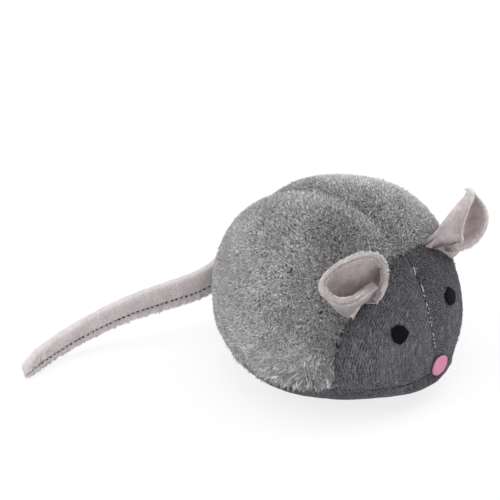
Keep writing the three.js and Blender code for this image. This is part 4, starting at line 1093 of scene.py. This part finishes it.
def add_tail():
    count, half_steps = 300, 22
    route, gone, sideways, half_width, half_thick = tail_frame(count)
    down = (1 - np.cos(np.linspace(0, math.pi, half_steps + 1))) / 2
    downs = np.concatenate([down, down[-2::-1]])
    signs = np.concatenate([np.ones(half_steps + 1), -np.ones(half_steps)])
    signs[0] = signs[-1] = 0
    along = gone[:, None]
    pull = 0.5 + 0.5 * np.cos(2 * math.pi * along / STITCH_PITCH + 1.5 * np.sin(along / 7))
    at_stitch = np.exp(-((downs - STITCH_DOWN) / 0.055) ** 2)
    below = smooth_step(downs, STITCH_DOWN, 0.85)
    out = tail_section(downs) - 0.2 * at_stitch * pull + 0.1 * below * np.sin(along * 1.7 + 2 * np.sin(along / 5))
    sunk = downs * (1 + 0.012 * below * (np.sin(along * 0.9) + 0.7 * np.sin(along * 2.3 + 1)))
    upright = half_width[:, None] * (1 - 2 * sunk) - 2.2 * smooth_step(along, gone[-1] - 9, gone[-1]) * (1 - downs)
    places = route[:, None] + sideways[:, None] * (signs * out * half_thick[:, None])[..., None]
    places = places + UP * upright[..., None]
    places = places + UP * (0.1 * waves(places, 5, 91))[..., None]
    places[:, -1] = places[:, 0]
    places[-1] = places[-1].mean(0)
    places[0] = places[0].mean(0)
    layer = np.stack(np.broadcast_arrays(along, length_along(places[20])[None], 0 * along), -1)
    mesh = grid_mesh("tail_cloth", places, places[:, :-1].mean(1, keepdims=True), {"strip": layer})
    piece = add_piece("tail_strip_cloth", mesh, ["tail_velour"], "tail_velour", "tail_strip", ["tail"], TAIL_BEND)
    add_tail_nap(places[8:-2], half_width[8:-2])
    add_tail_stitches()


def add_tail_nap(places, half_width):
    rng = np.random.default_rng(95)
    roots = scatter(places, TAIL_NAP_COUNT, rng)
    middles = places.mean(1)
    row = tufted(roots, middles)[0]
    middle = middles[row]
    rise = (roots - middle)[:, 2] / half_width[row]
    clear = np.abs(rise - (1 - 2 * STITCH_DOWN)) > 0.12
    roots, middle = roots[clear], middle[clear]
    out = unit(roots - middle)
    lean = unit(DOWN + rng.normal(size=roots.shape) * 0.35)
    ways = unit(lean + out * rng.uniform(0.15, 0.6, len(roots))[:, None])
    tones = rng.normal(0, 0.16, len(roots)) + 0.2 * waves(roots * [1, 1, 0.15], 2.4, 96)
    tones = np.exp(tones - 0.55 * smooth_step(-roots[:, 1], 50, 85))
    add_strands("tail_strip_nap", "tail_nap", "tail_velour", roots - out * 0.1, ways,
                rng.uniform(0.5, 1.1, len(roots)), 0.2, tones, body="tail_strip", bend=TAIL_BEND)


# Stitches

FACE_PITCH, NECK_PITCH = 1.7, 3.1
SEAM_THREAD, TAIL_THREAD = 0.16, 0.36


def stitch_unit():
    """One stitch along +X from 0 to 1 and 1 thick to each side, pointed at both ends."""
    turns = np.linspace(0, 2 * math.pi, 7)
    turns[-1] = 0
    along = np.linspace(0, 1, 9)[:, None]
    thick = (along > 0) & (along < 1)
    bm = bmesh.new()
    add_grid(bm, np.stack(np.broadcast_arrays(along, np.cos(turns) * thick, np.sin(turns) * thick), -1))
    bmesh.ops.remove_doubles(bm, verts=bm.verts, dist=0.0001)
    bmesh.ops.recalc_face_normals(bm, faces=bm.faces)
    return unit_arrays(bm)


def add_stitches(name, finish, slot, starts, ends, ups, radius, lift, **sewn):
    """A piece of stitches from start to end, each an arch of thread over the cloth with both ends in it."""
    shape, faces = stitch_unit()
    along, across, over = shape[:, :1], shape[:, 1:2], shape[:, 2:]
    ways, ups = (ends - starts)[:, None], unit(ups)[:, None]
    sides = unit(np.cross(ups, ways))
    rise = over * radius + (np.sin(math.pi * along) - 0.35) * lift
    places = starts[:, None] + ways * along + sides * across * radius + ups * rise
    add_piece(name, repeated_mesh(name, faces, places), [finish], slot, **sewn)


def seam_line(places, pitch):
    """Even places along a line of places."""
    gone = length_along(places)
    return part_way(places, gone, np.arange(pitch, gone[-1] - pitch / 2, pitch))


def add_face_stitches():
    """Pale stitches that show through along the middle of the face, uneven and slanted."""
    rng = np.random.default_rng(101)
    arc = np.linspace(math.radians(20), math.radians(118), 200)
    heart = np.array([NECK - 6, 0, BASE_SEAM])
    line = surface_from(heart, np.stack([np.cos(arc), 0 * arc, np.sin(arc)], -1))
    line = leant(line[(line[:, 2] > 20) & (line[:, 2] < 53.5)])
    knots = seam_line(line, FACE_PITCH)
    knots = knots + rng.normal(size=knots.shape) * [0.15, 0.0, 0.15]
    knots = knots[rng.random(len(knots)) < 0.85]
    away = LEFT * rng.uniform(0.25, 0.6, len(knots))[:, None] * rng.choice([-1, 1], len(knots))[:, None]
    slant = np.gradient(knots, axis=0) * rng.uniform(0.15, 0.4, len(knots))[:, None]
    starts, ends = settled(knots - away * 0.4 - slant, -0.05), settled(knots + away + slant, -0.05)
    add_stitches("face_stitches", "pale_thread", "face_knit", starts, ends, outward(knots), SEAM_THREAD, 0.4)


def add_neck_stitches():
    """Dark stitches in the crease between the plush and the face."""
    rng = np.random.default_rng(103)
    arc = np.linspace(math.radians(2), math.radians(176), 300)
    line = surface_from([NECK, 0, 30], np.stack([0 * arc, np.sin(arc), -np.cos(arc)], -1))
    line = line[(line[:, 2] > BASE_SEAM + 1) & (line[:, 1] > 1.5)]
    knots = seam_line(onto_body(line - FORWARD * neck_lean(line[:, 2:])), NECK_PITCH)
    knots = knots[np.linalg.norm(knots - EAR_ROOT, axis=-1) > 10.5]
    for side, word in ((1, "left"), (-1, "right")):
        across = FORWARD * rng.uniform(0.5, 0.9, len(knots))[:, None]
        slant = UP * rng.uniform(-0.3, 0.5, len(knots))[:, None]
        starts, ends = settled(knots - across - slant, 0.25), settled(knots + across + slant, 0.1)
        places = [to_side(place, side) for place in (starts, ends, outward(knots))]
        add_stitches(f"neck_stitches_{word}", "dark_thread", "face_knit", *places, SEAM_THREAD, 0.3)


def add_tail_stitches():
    rng = np.random.default_rng(107)
    route, gone, sideways, half_width, half_thick = tail_frame(900)
    wanted = np.arange(5, gone[-1] - 3, STITCH_PITCH)
    wanted = wanted + rng.normal(size=len(wanted)) * 0.15
    stitches = []
    for sign in (1, -1):
        for place in wanted:
            side, ends = part_way(sideways, gone, place) * sign, []
            for step in (-0.75, 0.75):
                *middle, high, thick = [
                    np.interp(place + step, gone, value) for value in (*route.T, half_width, half_thick)]
                q = np.array(middle) + side * thick * (tail_section(STITCH_DOWN) - 0.06)
                ends.append(q + UP * high * (1 - 2 * STITCH_DOWN) + UP * rng.normal() * 0.08)
            stitches.append((*ends, side))
    places = np.array(stitches).transpose(1, 0, 2)
    add_stitches("tail_stitches", "tail_thread", "tail_velour", *places, TAIL_THREAD, 0.85,
                 body="tail_strip", bend=TAIL_BEND)


# Stage and light

def paper(tree):
    """White paper. Most of what the camera sees of it is its own light, so that it is white but for a soft shadow."""
    diffuse = add(tree, "BsdfDiffuse", {"Color": (0.93, 0.93, 0.93, 1)})[0]
    glow = add(tree, "Emission", {"Color": (1, 1, 1, 1), "Strength": 1.0})[0]
    share = weighted(tree, (add(tree, "LightPath")["Is Camera Ray"], 0.8))
    return add(tree, "MixShader", (share, diffuse, glow))[0]


def add_stage():
    """A white floor, in a white room that looks and mirrors white but lights the toy a little less."""
    bm = bmesh.new()
    bmesh.ops.create_grid(bm, x_segments=1, y_segments=1, size=4)
    mesh = finished_mesh(bm, "floor")
    mesh.materials.append(make_material("white_paper", paper))
    placed("floor", mesh)

    world = bpy.data.worlds.new("room")
    bpy.context.scene.world = world
    world.use_nodes = True
    tree = world.node_tree
    tree.nodes.clear()
    path = add(tree, "LightPath")
    direct = path["Is Camera Ray"]
    for kind in ("Is Glossy Ray", "Is Transmission Ray"):
        direct = add(tree, "Math", (direct, path[kind]), operation="MAXIMUM")[0]
    strength = weighted(tree, (direct, 0.35), start=0.65)
    room = add(tree, "Background", {"Color": (1, 1, 1, 1), "Strength": strength})[0]
    add(tree, "OutputWorld", {"Surface": room})


def add_light(name, place, size, power):
    lamp = bpy.data.lights.new(name, "AREA")
    lamp.size = size
    lamp.energy = power
    light = placed(name, lamp)
    light.location = place
    light.rotation_euler = (Vector((0, 0, 0.03)) - light.location).to_track_quat("-Z", "Y").to_euler()


bpy.context.scene.view_settings.view_transform = "Standard"
add_stage()
for name, place, size, power in (
        ("softbox_left", (-0.5, -0.7, 0.8), 0.7, 4.5), ("softbox_right", (0.35, 0.75, 0.9), 0.8, 6.5),
        ("softbox_top", (-0.1, 0.0, 1.2), 0.9, 4.5)):
    add_light(name, place, size, power)

finish_capsule()
add_fill()
add_button_spring()
for side, word in ((1, "left"), (-1, "right")):
    add_plush(side, word)
    add_face(side, word)
    add_ear(side, word)
add_base()
add_eyes_and_nose()
add_tail()
add_face_stitches()
add_neck_stitches()
